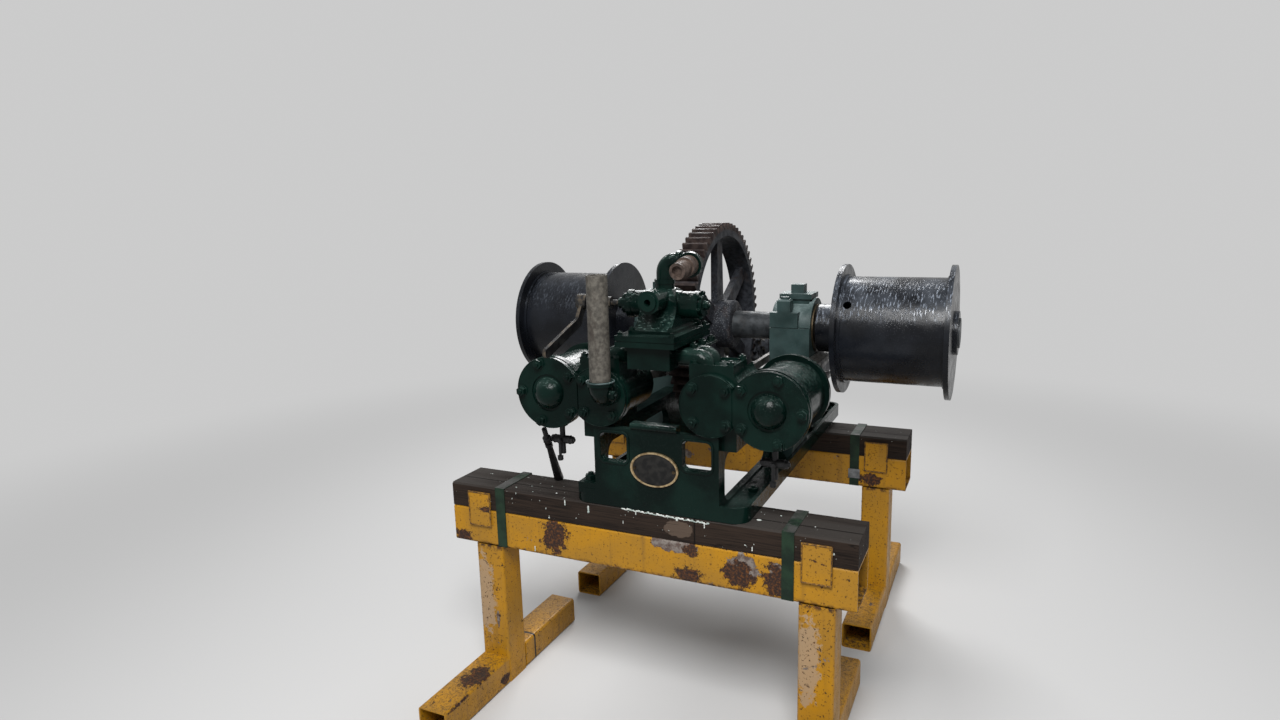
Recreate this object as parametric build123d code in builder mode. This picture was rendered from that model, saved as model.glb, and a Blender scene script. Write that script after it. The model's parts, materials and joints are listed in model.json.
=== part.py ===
from build123d import *
import os
from math import acos, atan2, cos, degrees, pi, radians, sin, sqrt, tan

# Steam winch with two cylinders, on two trestles
# Origin on the floor, between the trestles, under the middle of the winch
# X runs along the drum shaft, Y from the cylinder covers to the back, Z is up

# Trestles
trestle_pitch = 910
trestle_x = -72
beam_length = 1224
beam_height = 115
beam_depth = 150
beam_set_back = 30
beam_wall = 5
timber_thickness = 72
timber_edge = 5
stand_top = 638
post_size = 95
post_wall = 5
post_x = -60
post_spread = 1000
foot_height = 87
foot_width = 95
foot_length = 712
foot_wall = 5
tube_corner = 9
cleat_width = 75
cleat_height = 104
cleat_thickness = 6
cleat_drop = 20
cleat_offset = 511
strap_width = 32
strap_thickness = 2.5
strap_offset = 437
strap_lift = 3

# Bed
bed_front = -500
bed_back = 700
bed_half_width = 182
bed_top = 865
cheek_web = 20
rail_width = 73
rail_thickness = 28
rail_lip = 12
rail_lip_height = 14
rail_corner = 42
seat_flange_width = 52
seat_flange_thickness = 15
end_plate_thickness = 22
cheek_window_low = 34
cheek_window_high = 166
cheek_window_corner = 36
bay_front_margin = 23
bay_rib_margin = 14
bay_back_margin = 78
cheek_nose_drop = 60
nose_margin = 12
rib_thickness = 12
rib_clear = 10
rib_back = 48
rib_height = 120
rib_reach = 47
front_window_margin = 20
front_window_drop = 16
front_window_width = 81
front_window_height = 80
front_window_corner = 14
front_rise = 19
front_rise_half = 67
front_bead = 9
rear_window_width = 250
rear_window_height = 100
rear_plate_height = 160
lug_width = 56
lug_depth = 50
lug_height = 30
plate_half_width = 70
plate_half_height = 48
plate_thickness = 4
plate_rim = 5
plate_rim_height = 2
plate_z = 760

# Drum shaft
shaft_y = 101
shaft_z = 1067
shaft_r = 44
shaft_half_length = 710
shaft_proud = 4
fit_gap = 0.05
running_gap = 0.08

# Drums
barrel_r = 160
barrel_wall = 12
flange_r = 197
flange_thickness = 14
inner_flange_x = 372
spigot_step = 6
spigot_length = 8
hub_r = 74
hub_end_x = 304
outer_boss_r = 64
outer_boss_height = 12
rope_hole_r = 12
rope_hole_inset = 16
rope_hole_angle = 146

# Spur gearing
circular_pitch = 30.163
wheel_teeth = 66
pinion_teeth = 14
pressure_angle = 20
backlash = 1.0
tooth_tip_height = 9.6
tooth_root_depth = 11.6
wheel_face = 80
wheel_right_x = 0
wheel_rim = 21
wheel_arms = 6
wheel_hub_r = 78
wheel_hub_left_x = -106
wheel_hub_right_x = 30
wheel_hub_bevel = 6
arm_x = -34
arm_start = 31
arm_thickness = 22
arm_root_width = 62
arm_tip_width = 46

# Engine
engine_x = 315
engine_z = 949
chest_x = 160
joint_x = 223
cylinder_r = 90
cylinder_back = -269
cover_r = 101
cover_face_y = -511
cover_thickness = 16
flange_plate = 18
flange_step = 1.5
dome_r = 45
dome_height = 30
dome_groove = 4
chest_r = 72
chest_cover_r = 82
chest_back = -300
chest_rear_r = 60
rear_cover_thickness = 14
rear_cover_step = 4
gland_r = 30
gland_length = 40
rod_r = 14
chest_gland_r = 20
chest_gland_length = 28
valve_rod_r = 8
bridge_half_height = 56
saddle_drop = 40
saddle_back = -330
valley_x = 249
valley_z = 1007
valley_rise_x = 289
pad_x0 = 101
pad_x1 = 220
pad_y0 = -493
pad_y1 = -380
pad_z = 1037
cock_r = 12
cock_pipe_r = 8
cock_block = 22
cock_drop = 104
cock_cross_drop = 62
cock_cross_reach = 25
cock_inset = 32

# Running gear
throw = 65
crank_angle_right = 35
crank_angle_left = 125
connecting_rod_length = 440
crankshaft_r = 30
crank_disc_r = 112
crank_disc_gap = 9
crank_disc_thickness = 28
crank_pin_r = 16
crank_pin_proud = 12
big_end_r = 34
big_end_width = 34
small_end_r = 20
small_end_width = 22
rod_shank_width = 20
rod_shank_thickness = 16
crosshead_width = 40
crosshead_length = 56
crosshead_half_height = 25
crosshead_slot = 24
crosshead_gap = 2
wrist_pin_r = 10
guide_thickness = 13
guide_margin = 14
bearing_width = 62
bearing_half_length = 62
bearing_cap_r = 52
eccentric_x = 118
eccentric_width = 24
eccentric_r = 56
eccentric_throw = 16
eccentric_bar = 12
knuckle_reach = 30
knuckle_half = 14
knuckle_shoulder = 8
knuckle_sweep = 90
pinion_left_x = -85
pinion_right_x = 5
pinion_boss_r = 52
pinion_boss_length = 10
dog_gap = 6
dog_r = 52
dog_length = 42
dog_depth = 12
dog_play = 2
dog_groove = 8

# Drum pedestals
pedestal_inner_x = 170
pedestal_outer_x = 293
pedestal_half_depth = 98
pedestal_split = 8
pedestal_waist = 40
pedestal_toe = 44
pedestal_toe_height = 22
cap_joint = 2
cap_ledge_height = 46
cap_ledge_width = 86
cap_r = 86
cap_ring_r = 92
cap_ring_width = 14
cap_block_x = 236
cap_block_half_width = 44
cap_block_half_depth = 38
cap_block_sink = 10
cap_block_height = 98
cap_slab = 16
cap_slab_proud = 6
plug_width = 40
plug_height = 27
nut_width = 40
nut_height = 40
nut_inset = 20
nut_chamfer = 5
stud_r = 13
stud_height = 7
bush_wall = 14
bush_flange_r = 74
bush_flange = 4

# Steam distribution and control valve
plate_front_y = -549
plate_back_y = -288
plate_half_x = 83
plate_top_z = 1128
plate_layer = 14
plate_step = 2
plate_groove = 3
box_half_x = 60
box_front_inset = 25
box_back_inset = 20
duct_r = 24
duct_half_spread = 25
duct_z = 1065
duct_x = 138
duct_land = 1
duct_flange = 17
duct_pocket = 5
duct_edge = 6
valve_y = -405
valve_z = 1194
valve_base_half_x = 62
valve_base_half_y = 104
valve_base_thickness = 8
valve_half_x = 52
valve_foot_half_y = 96
valve_flare_y = 66
valve_flare_z = 1160
valve_body_r = 48
valve_end_r = 38
valve_crown_half = 12
valve_neck_r = 26
valve_top_z = 1250
valve_face_boss_z = 1211
valve_face_boss_r = 30
valve_face_boss_y = -515
valve_face_ring_r = 23
valve_face_ring = 6
valve_face_bore_r = 9
valve_face_bore = 28
bonnet_body_r = 36
bonnet_body = 36
bonnet_r = 38
bonnet_flange = 16
bonnet_neck_r = 28
bonnet_neck = 15
bonnet_cover = 8
bonnet_gland_r = 15
bonnet_gland = 16

# Control lever
spindle_r = 8
spindle_inner_x = -76
spindle_outer_x = -270
spindle_collar_r = 16
spindle_collar_x = -177
spindle_collar = 17
lever_x = -250
lever_boss_r = 22
lever_boss_width = 30
lever_knee_y = -442
lever_knee_z = 1141
lever_end_y = -613
lever_end_z = 1084
lever_width = 26
lever_thickness = 10

# Steam inlet and exhaust
neck_r = 22
neck_band_r = 28
neck_band = 12
inlet_z = 1309
inlet_elbow_x = 90
inlet_bend = 30
inlet_tail = 50
inlet_fall = 7
mouth_r = 33
mouth_width = 14
coupling_r = 26
coupling_length = 32
tail_r = 21
tail_length = 50
coupling_bore_r = 14
stack_x = -120
stack_y = -565
stack_r = 28
stack_wall = 4
stack_top_z = 1285
stack_foot_z = 997
exhaust_z = 966
exhaust_elbow_r = 32
exhaust_collar_r = 37
exhaust_collar = 12
exhaust_bend = 34
exhaust_socket = 10

# Heights and places that follow from the sizes above
sides = (-1, 1)
timber_low_z = stand_top - timber_thickness
beam_low_z = timber_low_z - beam_height
trestle_ys = (-trestle_pitch / 2, trestle_pitch / 2)
beam_ys = tuple(y + beam_set_back for y in trestle_ys)
post_xs = (post_x - post_spread / 2, post_x + post_spread / 2)
rail_outer_x = bed_half_width + rail_width
rail_top_z = stand_top + rail_thickness
cheek_inner_x = bed_half_width - cheek_web
cheek_front_y = bed_front + end_plate_thickness
cheek_back_y = bed_back - end_plate_thickness
rib_stations = (
    shaft_y - pedestal_half_depth - rib_clear - rib_thickness / 2,
    shaft_y + pedestal_half_depth + rib_clear + rib_thickness / 2,
    bed_back - rib_back,
)
cheek_bays = (
    (cheek_front_y + bay_front_margin, rib_stations[0] - bay_rib_margin),
    (rib_stations[1] + bay_rib_margin, cheek_back_y - bay_back_margin),
)
front_window_x = bed_half_width - front_window_margin - front_window_width / 2
front_window_z = bed_top - front_window_drop - front_window_height / 2
barrel_inner_x = inner_flange_x + flange_thickness + spigot_length
outer_flange_x = shaft_half_length - shaft_proud - outer_boss_height - flange_thickness
barrel_outer_x = outer_flange_x - spigot_length
rope_hole_x = barrel_inner_x + rope_hole_inset
wheel_pitch_r = circular_pitch * wheel_teeth / (2 * pi)
pinion_pitch_r = circular_pitch * pinion_teeth / (2 * pi)
gear_centres = wheel_pitch_r + pinion_pitch_r
crank_y = shaft_y + sqrt(gear_centres**2 - (shaft_z - engine_z) ** 2)
crank_z = engine_z
mesh_angle = degrees(atan2(crank_z - shaft_z, crank_y - shaft_y))
cheek_nose_y = crank_y + bearing_half_length + nose_margin
cover_back_y = cover_face_y + cover_thickness
cylinder_flange_r = cover_r + flange_step
chest_flange_r = chest_cover_r + flange_step
rear_cover_back = cylinder_back + rear_cover_thickness
chest_rear_back = chest_back + rear_cover_thickness
bearing_x = bed_half_width
crank_disc_x = bearing_x + bearing_width / 2 + crank_disc_gap
crank_pin_end_x = engine_x + big_end_width / 2 + crank_pin_proud
guide_inner_x = pedestal_outer_x
guide_outer_x = 2 * engine_x - guide_inner_x
guide_back = crank_y - connecting_rod_length + throw + crosshead_length / 2 + guide_margin
split_z = shaft_z + pedestal_split
cap_low_z = split_z + cap_joint
bush_r = shaft_r + bush_wall

os.makedirs("parts", exist_ok=True)


def save(piece, name):
    piece.part.label = name
    export_step(piece.part, f"parts/{name}.step")


def along_y(y):
    # Plane across Y at a given place, looking back, with X to the right and Z up
    return Plane(origin=(0, y, 0), x_dir=(1, 0, 0), z_dir=(0, -1, 0))


def along_x(x):
    # Plane across X at a given place, with Y to the right and Z up
    return Plane.YZ.offset(x)


def box_between(x0, x1, y0, y1, z0, z1, mode=Mode.ADD):
    with Locations(((x0 + x1) / 2, (y0 + y1) / 2, (z0 + z1) / 2)):
        return Box(abs(x1 - x0), abs(y1 - y0), abs(z1 - z0), mode=mode)


def drum_y(x, y, z, r, y_to, mode=Mode.ADD):
    # Cylinder from y to y_to
    with BuildSketch(along_y(max(y, y_to))) as disc:
        with Locations((x, z)):
            Circle(r)
    extrude(disc.sketch, amount=abs(y_to - y), mode=mode)


def drum_x(y, z, r, x0, x1, mode=Mode.ADD):
    # Cylinder from x0 to x1
    with BuildSketch(along_x(min(x0, x1))) as disc:
        with Locations((y, z)):
            Circle(r)
    extrude(disc.sketch, amount=abs(x1 - x0), mode=mode)


def drum_z(x, y, r, z0, z1, mode=Mode.ADD):
    # Cylinder from z0 to z1
    with BuildSketch(Plane.XY.offset(z0)) as disc:
        with Locations((x, y)):
            Circle(r)
    extrude(disc.sketch, amount=z1 - z0, mode=mode)


# Trestle feet, box section butted against the posts in front and behind
with BuildPart() as trestle_feet:
    for foot_y in trestle_ys:
        for face in sides:
            reach = (foot_length - post_size) / 2
            foot_end = foot_y + max(face * post_size, face * foot_length) / 2
            with BuildSketch(along_y(foot_end)):
                with Locations(*[(x, foot_height / 2) for x in post_xs]):
                    RectangleRounded(foot_width, foot_height, tube_corner)
                    Rectangle(foot_width - 2 * foot_wall, foot_height - 2 * foot_wall, mode=Mode.SUBTRACT)
            extrude(amount=reach)
save(trestle_feet, "trestle_feet")

# Trestle posts, box section stood on the floor
with BuildPart() as trestle_posts:
    with BuildSketch():
        with Locations(*[(x, y) for x in post_xs for y in trestle_ys]):
            RectangleRounded(post_size, post_size, tube_corner)
            Rectangle(post_size - 2 * post_wall, post_size - 2 * post_wall, mode=Mode.SUBTRACT)
    extrude(amount=beam_low_z)
save(trestle_posts, "trestle_posts")

# Trestle beams, box section across the tops of the posts
with BuildPart() as trestle_beams:
    with BuildSketch(along_x(trestle_x - beam_length / 2)):
        with Locations(*[(y, beam_low_z + beam_height / 2) for y in beam_ys]):
            RectangleRounded(beam_depth, beam_height, tube_corner)
            Rectangle(beam_depth - 2 * beam_wall, beam_height - 2 * beam_wall, mode=Mode.SUBTRACT)
    extrude(amount=beam_length)
save(trestle_beams, "trestle_beams")

# Timbers laid on the beams
with BuildPart() as timbers:
    with BuildSketch(along_x(trestle_x - beam_length / 2)):
        with Locations(*[(y, timber_low_z + timber_thickness / 2) for y in beam_ys]):
            Rectangle(beam_depth, timber_thickness)
    extrude(amount=beam_length)
    top_edges = timbers.edges().filter_by(Axis.X).group_by(Axis.Z)[-1]
    chamfer(top_edges, timber_edge)
save(timbers, "timbers")

# Cleats, plates that hold the timbers to the beams
with BuildPart() as cleats:
    for cleat_y in beam_ys:
        for face in sides:
            face_y = cleat_y + face * (beam_depth + cleat_thickness) / 2
            cleat_z = stand_top - cleat_drop - cleat_height / 2
            with Locations(*[(trestle_x + dx, face_y, cleat_z) for dx in (-cleat_offset, cleat_offset)]):
                Box(cleat_width, cleat_thickness, cleat_height)
save(cleats, "cleats")

# Straps over the timbers and down both sides of the beams
with BuildPart() as straps:
    strap_low_z = beam_low_z + strap_lift
    strap_top_z = stand_top + strap_thickness
    for dx in (-strap_offset, strap_offset):
        with BuildSketch(along_x(trestle_x + dx - strap_width / 2)):
            with Locations(*[(y, (strap_low_z + strap_top_z) / 2) for y in beam_ys]):
                Rectangle(beam_depth + 2 * strap_thickness, strap_top_z - strap_low_z)
            with Locations(*[(y, (strap_low_z + stand_top) / 2) for y in beam_ys]):
                Rectangle(beam_depth, stand_top - strap_low_z, mode=Mode.SUBTRACT)
        extrude(amount=strap_width)
save(straps, "straps")


def cheek(side):
    # Side casting of the bed: web with bays, base rail with its lip, seat flange and ribs
    with BuildPart() as casting:
        with BuildSketch(along_x(cheek_inner_x)):
            with BuildLine():
                Polyline(
                    (cheek_front_y, stand_top),
                    (cheek_back_y, stand_top),
                    (cheek_back_y, bed_top - cheek_nose_drop),
                    (cheek_nose_y, bed_top),
                    (cheek_front_y, bed_top),
                    close=True,
                )
            make_face()
            for bay_start, bay_end in cheek_bays:
                with Locations(((bay_start + bay_end) / 2,
                                stand_top + (cheek_window_low + cheek_window_high) / 2)):
                    RectangleRounded(bay_end - bay_start, cheek_window_high - cheek_window_low,
                                     cheek_window_corner, mode=Mode.SUBTRACT)
        extrude(amount=cheek_web)
        rail_middle_x = (cheek_inner_x + rail_outer_x) / 2
        bed_middle_y = (bed_front + bed_back) / 2
        for low_z, height, inset in ((stand_top, rail_thickness, 0), (rail_top_z, rail_lip_height, rail_lip)):
            with BuildSketch(Plane.XY.offset(low_z)):
                with BuildSketch(mode=Mode.PRIVATE) as rail_outline:
                    with Locations((rail_middle_x, bed_middle_y)):
                        Rectangle(rail_outer_x - cheek_inner_x, bed_back - bed_front)
                    fillet(rail_outline.vertices().group_by(Axis.X)[-1], rail_corner)
                add(rail_outline.sketch)
                if inset:
                    with BuildSketch(mode=Mode.PRIVATE) as rail_floor:
                        with Locations((rail_middle_x - inset, bed_middle_y)):
                            Rectangle(rail_outer_x - cheek_inner_x, bed_back - bed_front - 2 * inset)
                        fillet(rail_floor.vertices().group_by(Axis.X)[-1], rail_corner - inset)
                    add(rail_floor.sketch, mode=Mode.SUBTRACT)
            extrude(amount=height)
        for start, end in ((bed_front, cheek_front_y), (cheek_back_y, bed_back)):
            box_between(cheek_inner_x, bed_half_width, start, end, stand_top, rail_top_z + rail_lip_height,
                        Mode.SUBTRACT)
        box_between(bed_half_width - seat_flange_width, bed_half_width, cheek_front_y, cheek_nose_y,
                    bed_top - seat_flange_thickness, bed_top)
        for station in rib_stations:
            with BuildSketch(along_y(station + rib_thickness / 2)):
                with BuildLine():
                    Polyline(
                        (bed_half_width, rail_top_z),
                        (bed_half_width + rib_reach, rail_top_z),
                        (bed_half_width, stand_top + rib_height),
                        close=True,
                    )
                make_face()
            extrude(amount=rib_thickness)
        if side < 0:
            box_between(bed_half_width, bed_half_width + lug_width, bed_front + 1, bed_front + lug_depth,
                        rail_top_z, rail_top_z + lug_height)
            mirror(about=Plane.YZ, mode=Mode.REPLACE)
    return casting


save(cheek(-1), "left_cheek")
save(cheek(1), "right_cheek")

# Front plate of the bed, with a window each side of the nameplate
with BuildPart() as front_plate:
    with BuildSketch(along_y(cheek_front_y)):
        with Locations((0, (stand_top + bed_top) / 2)):
            Rectangle(2 * bed_half_width, bed_top - stand_top)
        with Locations(*[(side * front_window_x, front_window_z) for side in sides]):
            RectangleRounded(front_window_width, front_window_height, front_window_corner, mode=Mode.SUBTRACT)
    extrude(amount=end_plate_thickness)
    with BuildSketch(along_y(cheek_front_y)):
        with Locations((0, bed_top + front_rise / 2)):
            Rectangle(2 * front_rise_half, front_rise)
    extrude(amount=end_plate_thickness)
    with BuildSketch(along_x(-front_rise_half)):
        with Locations((bed_front, bed_top + front_rise - front_bead)):
            Circle(front_bead)
    extrude(amount=2 * front_rise_half)
save(front_plate, "front_plate")

# Rear plate of the bed
with BuildPart() as rear_plate:
    with BuildSketch(along_y(bed_back)):
        with Locations((0, stand_top + rear_plate_height / 2)):
            RectangleRounded(2 * bed_half_width, rear_plate_height, 2)
            RectangleRounded(rear_window_width, rear_window_height, front_window_corner, mode=Mode.SUBTRACT)
    extrude(amount=end_plate_thickness)
save(rear_plate, "rear_plate")

# Nameplate, oval with a raised rim and a bare field
with BuildPart() as nameplate:
    with BuildSketch(along_y(bed_front)):
        with Locations((0, plate_z)):
            Ellipse(plate_half_width, plate_half_height)
    extrude(amount=plate_thickness)
    with BuildSketch(along_y(bed_front - plate_thickness)):
        with Locations((0, plate_z)):
            Ellipse(plate_half_width, plate_half_height)
            Ellipse(plate_half_width - plate_rim, plate_half_height - plate_rim, mode=Mode.SUBTRACT)
    extrude(amount=plate_rim_height)
save(nameplate, "nameplate")


def cylinder_casting(side):
    # Cylinder and valve chest in one casting, with its saddle, its top pad and the valley between them
    with BuildPart() as casting:
        flange_back_y = cover_back_y + flange_plate
        drum_y(engine_x, cover_back_y, engine_z, cylinder_r, cylinder_back)
        drum_y(engine_x, cover_back_y, engine_z, cylinder_flange_r, flange_back_y)
        drum_y(engine_x, cylinder_back - flange_plate, engine_z, cylinder_flange_r, cylinder_back)
        box_between(0, joint_x, cover_back_y - 1, cylinder_back + 1, engine_z - cylinder_flange_r - 1,
                    engine_z + cylinder_flange_r + 1, Mode.SUBTRACT)
        drum_y(chest_x, cover_back_y, engine_z, chest_r, chest_back)
        with BuildSketch(along_y(flange_back_y)):
            with Locations((chest_x, engine_z)):
                Circle(chest_flange_r)
            with Locations((joint_x + chest_flange_r, engine_z)):
                Rectangle(2 * chest_flange_r, 3 * chest_flange_r, mode=Mode.SUBTRACT)
        extrude(amount=flange_plate)
        box_between(chest_x, engine_x, cover_back_y, chest_back, engine_z - bridge_half_height,
                    engine_z + bridge_half_height)
        with BuildSketch(along_y(saddle_back)):
            with BuildLine():
                ThreePointArc(
                    (pad_x1, pad_z),
                    (valley_x, valley_z),
                    (valley_rise_x, engine_z + sqrt(cylinder_r**2 - (engine_x - valley_rise_x) ** 2)),
                )
                Polyline(
                    (valley_rise_x, engine_z + sqrt(cylinder_r**2 - (engine_x - valley_rise_x) ** 2)),
                    (valley_rise_x, engine_z),
                    (pad_x1, engine_z),
                    (pad_x1, pad_z),
                )
            make_face()
        extrude(amount=saddle_back - pad_y0)
        saddle_inner_x = bed_half_width - seat_flange_width
        box_between(saddle_inner_x, joint_x, cheek_front_y, saddle_back, bed_top, engine_z)
        box_between(bed_half_width, joint_x, cheek_front_y, saddle_back, bed_top - saddle_drop, bed_top)
        box_between(pad_x0, pad_x1, pad_y0, pad_y1, engine_z, pad_z)
        if side < 0:
            mirror(about=Plane.YZ, mode=Mode.REPLACE)
    return casting


save(cylinder_casting(-1), "left_cylinder")
save(cylinder_casting(1), "right_cylinder")

# Front covers of the cylinders, cut flat where they meet the chest covers, with a dome in a ring groove
with BuildPart() as cylinder_covers:
    dome_sphere_r = (dome_r**2 + dome_height**2) / (2 * dome_height)
    with BuildSketch(along_y(cover_back_y)):
        with Locations((engine_x, engine_z)):
            Circle(cover_r)
        with Locations((joint_x + fit_gap - cover_r, engine_z)):
            Rectangle(2 * cover_r, 3 * cover_r, mode=Mode.SUBTRACT)
    extrude(amount=cover_thickness)
    with BuildSketch(along_y(cover_face_y + dome_groove)):
        with Locations((engine_x, engine_z)):
            Circle(dome_r + 2 * dome_groove)
            Circle(dome_r, mode=Mode.SUBTRACT)
    extrude(amount=dome_groove, mode=Mode.SUBTRACT)
    with BuildSketch(Plane(origin=(engine_x, cover_face_y, engine_z), x_dir=(1, 0, 0), z_dir=(0, 0, 1))):
        with BuildLine():
            ThreePointArc(
                (dome_r, 0),
                (dome_r * 0.5, dome_sphere_r - dome_height - sqrt(dome_sphere_r**2 - (dome_r * 0.5) ** 2)),
                (0, -dome_height),
            )
            Polyline((0, -dome_height), (0, 0), (dome_r, 0))
        make_face()
    revolve(axis=Axis((engine_x, cover_face_y, engine_z), (0, 1, 0)))
    mirror(about=Plane.YZ)
save(cylinder_covers, "cylinder_covers")

# Front covers of the valve chests
with BuildPart() as chest_covers:
    with BuildSketch(along_y(cover_back_y)):
        with Locations((chest_x, engine_z)):
            Circle(chest_cover_r)
        with Locations((joint_x - fit_gap + chest_cover_r, engine_z)):
            Rectangle(2 * chest_cover_r, 3 * chest_cover_r, mode=Mode.SUBTRACT)
    extrude(amount=cover_thickness)
    front_face = chest_covers.faces().sort_by(Axis.Y)[0]
    chamfer(front_face.edges(), 3)
    mirror(about=Plane.YZ)
save(chest_covers, "chest_covers")

# Rear covers with their glands
with BuildPart() as rear_covers:
    drum_y(engine_x, cylinder_back, engine_z, cover_r - rear_cover_step, rear_cover_back)
    drum_y(engine_x, rear_cover_back, engine_z, gland_r, rear_cover_back + gland_length)
    drum_y(chest_x, chest_back, engine_z, chest_rear_r, chest_rear_back)
    drum_y(chest_x, chest_rear_back, engine_z, chest_gland_r, chest_rear_back + chest_gland_length)
    drum_y(engine_x, cylinder_back, engine_z, rod_r + fit_gap, rear_cover_back + gland_length, Mode.SUBTRACT)
    drum_y(chest_x, chest_back, engine_z, valve_rod_r + fit_gap,
           chest_rear_back + chest_gland_length, Mode.SUBTRACT)
    mirror(about=Plane.YZ)
save(rear_covers, "rear_covers")

# Drain cocks under the cylinders, each with a cross piece for its linkage
with BuildPart() as drain_cocks:
    cock_y = cover_back_y + flange_plate + cock_inset
    cylinder_low_z = engine_z - cylinder_r
    drum_z(engine_x, cock_y, cock_pipe_r, cylinder_low_z - cock_drop, cylinder_low_z)
    box_between(engine_x - cock_r, engine_x + cock_r, cock_y - cock_r, cock_y + cock_r,
                cylinder_low_z - cock_block, cylinder_low_z + cock_block / 2)
    drum_x(cock_y, cylinder_low_z - cock_cross_drop, cock_r, engine_x - cock_cross_reach,
           engine_x + cock_cross_reach)
    drum_y(engine_x, cover_back_y, engine_z, cylinder_r, cylinder_back, Mode.SUBTRACT)
    mirror(about=Plane.YZ)
save(drain_cocks, "drain_cocks")


def pin_place(angle):
    # Crank pin centre for a crank angle measured up from the line towards the cylinder
    return (crank_y - throw * cos(radians(angle)), crank_z + throw * sin(radians(angle)))


def crosshead_place(angle):
    pin_y, pin_z = pin_place(angle)
    return pin_y - sqrt(connecting_rod_length**2 - (pin_z - engine_z) ** 2)


cranks = ((1, crank_angle_right), (-1, crank_angle_left))

# Crankshaft
with BuildPart() as crankshaft:
    drum_x(crank_y, crank_z, crankshaft_r, -crank_disc_x, crank_disc_x)
save(crankshaft, "crankshaft")

# Crank discs and their pins
with BuildPart() as crank_discs:
    for side, angle in cranks:
        disc_outer_x = crank_disc_x + crank_disc_thickness
        drum_x(crank_y, crank_z, crank_disc_r, side * crank_disc_x, side * disc_outer_x)
        pin_y, pin_z = pin_place(angle)
        drum_x(pin_y, pin_z, crank_pin_r, side * disc_outer_x, side * crank_pin_end_x)
save(crank_discs, "crank_discs")

# Crank bearings on the cheeks
with BuildPart() as crank_bearings:
    for side in sides:
        x0 = side * (bearing_x - bearing_width / 2)
        x1 = side * (bearing_x + bearing_width / 2)
        inner = side * (bed_half_width - seat_flange_width)
        box_between(x0, x1, crank_y - bearing_half_length, crank_y + bearing_half_length, bed_top, crank_z)
        drum_x(crank_y, crank_z, bearing_cap_r, x0, x1)
        drum_x(crank_y, crank_z, crankshaft_r + fit_gap, inner, x1, Mode.SUBTRACT)
save(crank_bearings, "crank_bearings")

# Connecting rods, from the crossheads to the crank pins
with BuildPart() as connecting_rods:
    for side, angle in cranks:
        pin_y, pin_z = pin_place(angle)
        head_y = crosshead_place(angle)
        end_x0 = side * engine_x - big_end_width / 2
        end_x1 = side * engine_x + big_end_width / 2
        drum_x(pin_y, pin_z, big_end_r, end_x0, end_x1)
        drum_x(head_y, engine_z, small_end_r, side * engine_x - small_end_width / 2,
               side * engine_x + small_end_width / 2)
        with BuildSketch(along_x(side * engine_x - rod_shank_thickness / 2)):
            with BuildLine():
                shank = Line((head_y, engine_z), (pin_y, pin_z))
            with Locations(shank @ 0.5):
                Rectangle(connecting_rod_length, rod_shank_width,
                          rotation=degrees(atan2(pin_z - engine_z, pin_y - head_y)))
        extrude(amount=rod_shank_thickness)
        drum_x(pin_y, pin_z, crank_pin_r + fit_gap, end_x0, end_x1, Mode.SUBTRACT)
        drum_x(head_y, engine_z, wrist_pin_r + fit_gap, end_x0, end_x1, Mode.SUBTRACT)
save(connecting_rods, "connecting_rods")

# Crossheads with the piston rods
with BuildPart() as crossheads:
    for side, angle in cranks:
        head_y = crosshead_place(angle)
        x0 = side * engine_x - crosshead_width / 2
        x1 = side * engine_x + crosshead_width / 2
        drum_y(side * engine_x, cylinder_back, engine_z, rod_r, head_y)
        box_between(x0, x1, head_y - crosshead_length / 2, head_y + crosshead_length / 2,
                    engine_z - crosshead_half_height, engine_z + crosshead_half_height)
        box_between(side * engine_x - crosshead_slot / 2, side * engine_x + crosshead_slot / 2,
                    head_y - small_end_r - crosshead_gap, head_y + crosshead_length / 2,
                    engine_z - crosshead_half_height, engine_z + crosshead_half_height, Mode.SUBTRACT)
        drum_x(head_y, engine_z, wrist_pin_r, x0, x1)
save(crossheads, "crossheads")

# Guide bars, from the rear covers to the pedestals
with BuildPart() as guide_bars:
    for side in sides:
        for level in sides:
            z0 = engine_z + level * crosshead_half_height
            z1 = engine_z + level * (crosshead_half_height + guide_thickness)
            box_between(side * guide_inner_x, side * guide_outer_x, rear_cover_back, guide_back, z0, z1)
            drum_y(side * engine_x, rear_cover_back, engine_z, gland_r + fit_gap,
                   rear_cover_back + gland_length, Mode.SUBTRACT)
save(guide_bars, "guide_bars")

# Eccentrics on the crankshaft and the rods that drive the valves
with BuildPart() as valve_rods:
    for side, angle in cranks:
        lead = radians(angle + 90)
        strap_y = crank_y - eccentric_throw * cos(lead)
        strap_z = crank_z + eccentric_throw * sin(lead)
        x0 = side * eccentric_x - eccentric_width / 2
        x1 = side * eccentric_x + eccentric_width / 2
        drum_x(strap_y, strap_z, eccentric_r, x0, x1)
        knuckle_y = chest_rear_back + chest_gland_length + knuckle_reach
        drum_y(side * chest_x, chest_back, engine_z, valve_rod_r, knuckle_y)
        with BuildSketch(Plane.XY.offset(engine_z - eccentric_bar)):
            with BuildLine():
                Polyline(
                    (side * (chest_x - eccentric_bar), knuckle_y - knuckle_half),
                    (side * (chest_x + eccentric_bar), knuckle_y - knuckle_half),
                    (side * (chest_x + eccentric_bar), knuckle_y + knuckle_half),
                    (side * (eccentric_x + eccentric_bar / 2), knuckle_y + knuckle_sweep),
                    (side * (eccentric_x + eccentric_bar / 2), strap_y),
                    (side * (eccentric_x - eccentric_bar / 2), strap_y),
                    (side * (eccentric_x - eccentric_bar / 2), knuckle_y + knuckle_sweep - eccentric_bar),
                    (side * (chest_x - eccentric_bar), knuckle_y + knuckle_shoulder),
                    close=True,
                )
            make_face()
        extrude(amount=2 * eccentric_bar)
        drum_x(crank_y, crank_z, crankshaft_r + fit_gap, x0, x1, Mode.SUBTRACT)
save(valve_rods, "valve_rods")


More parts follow.
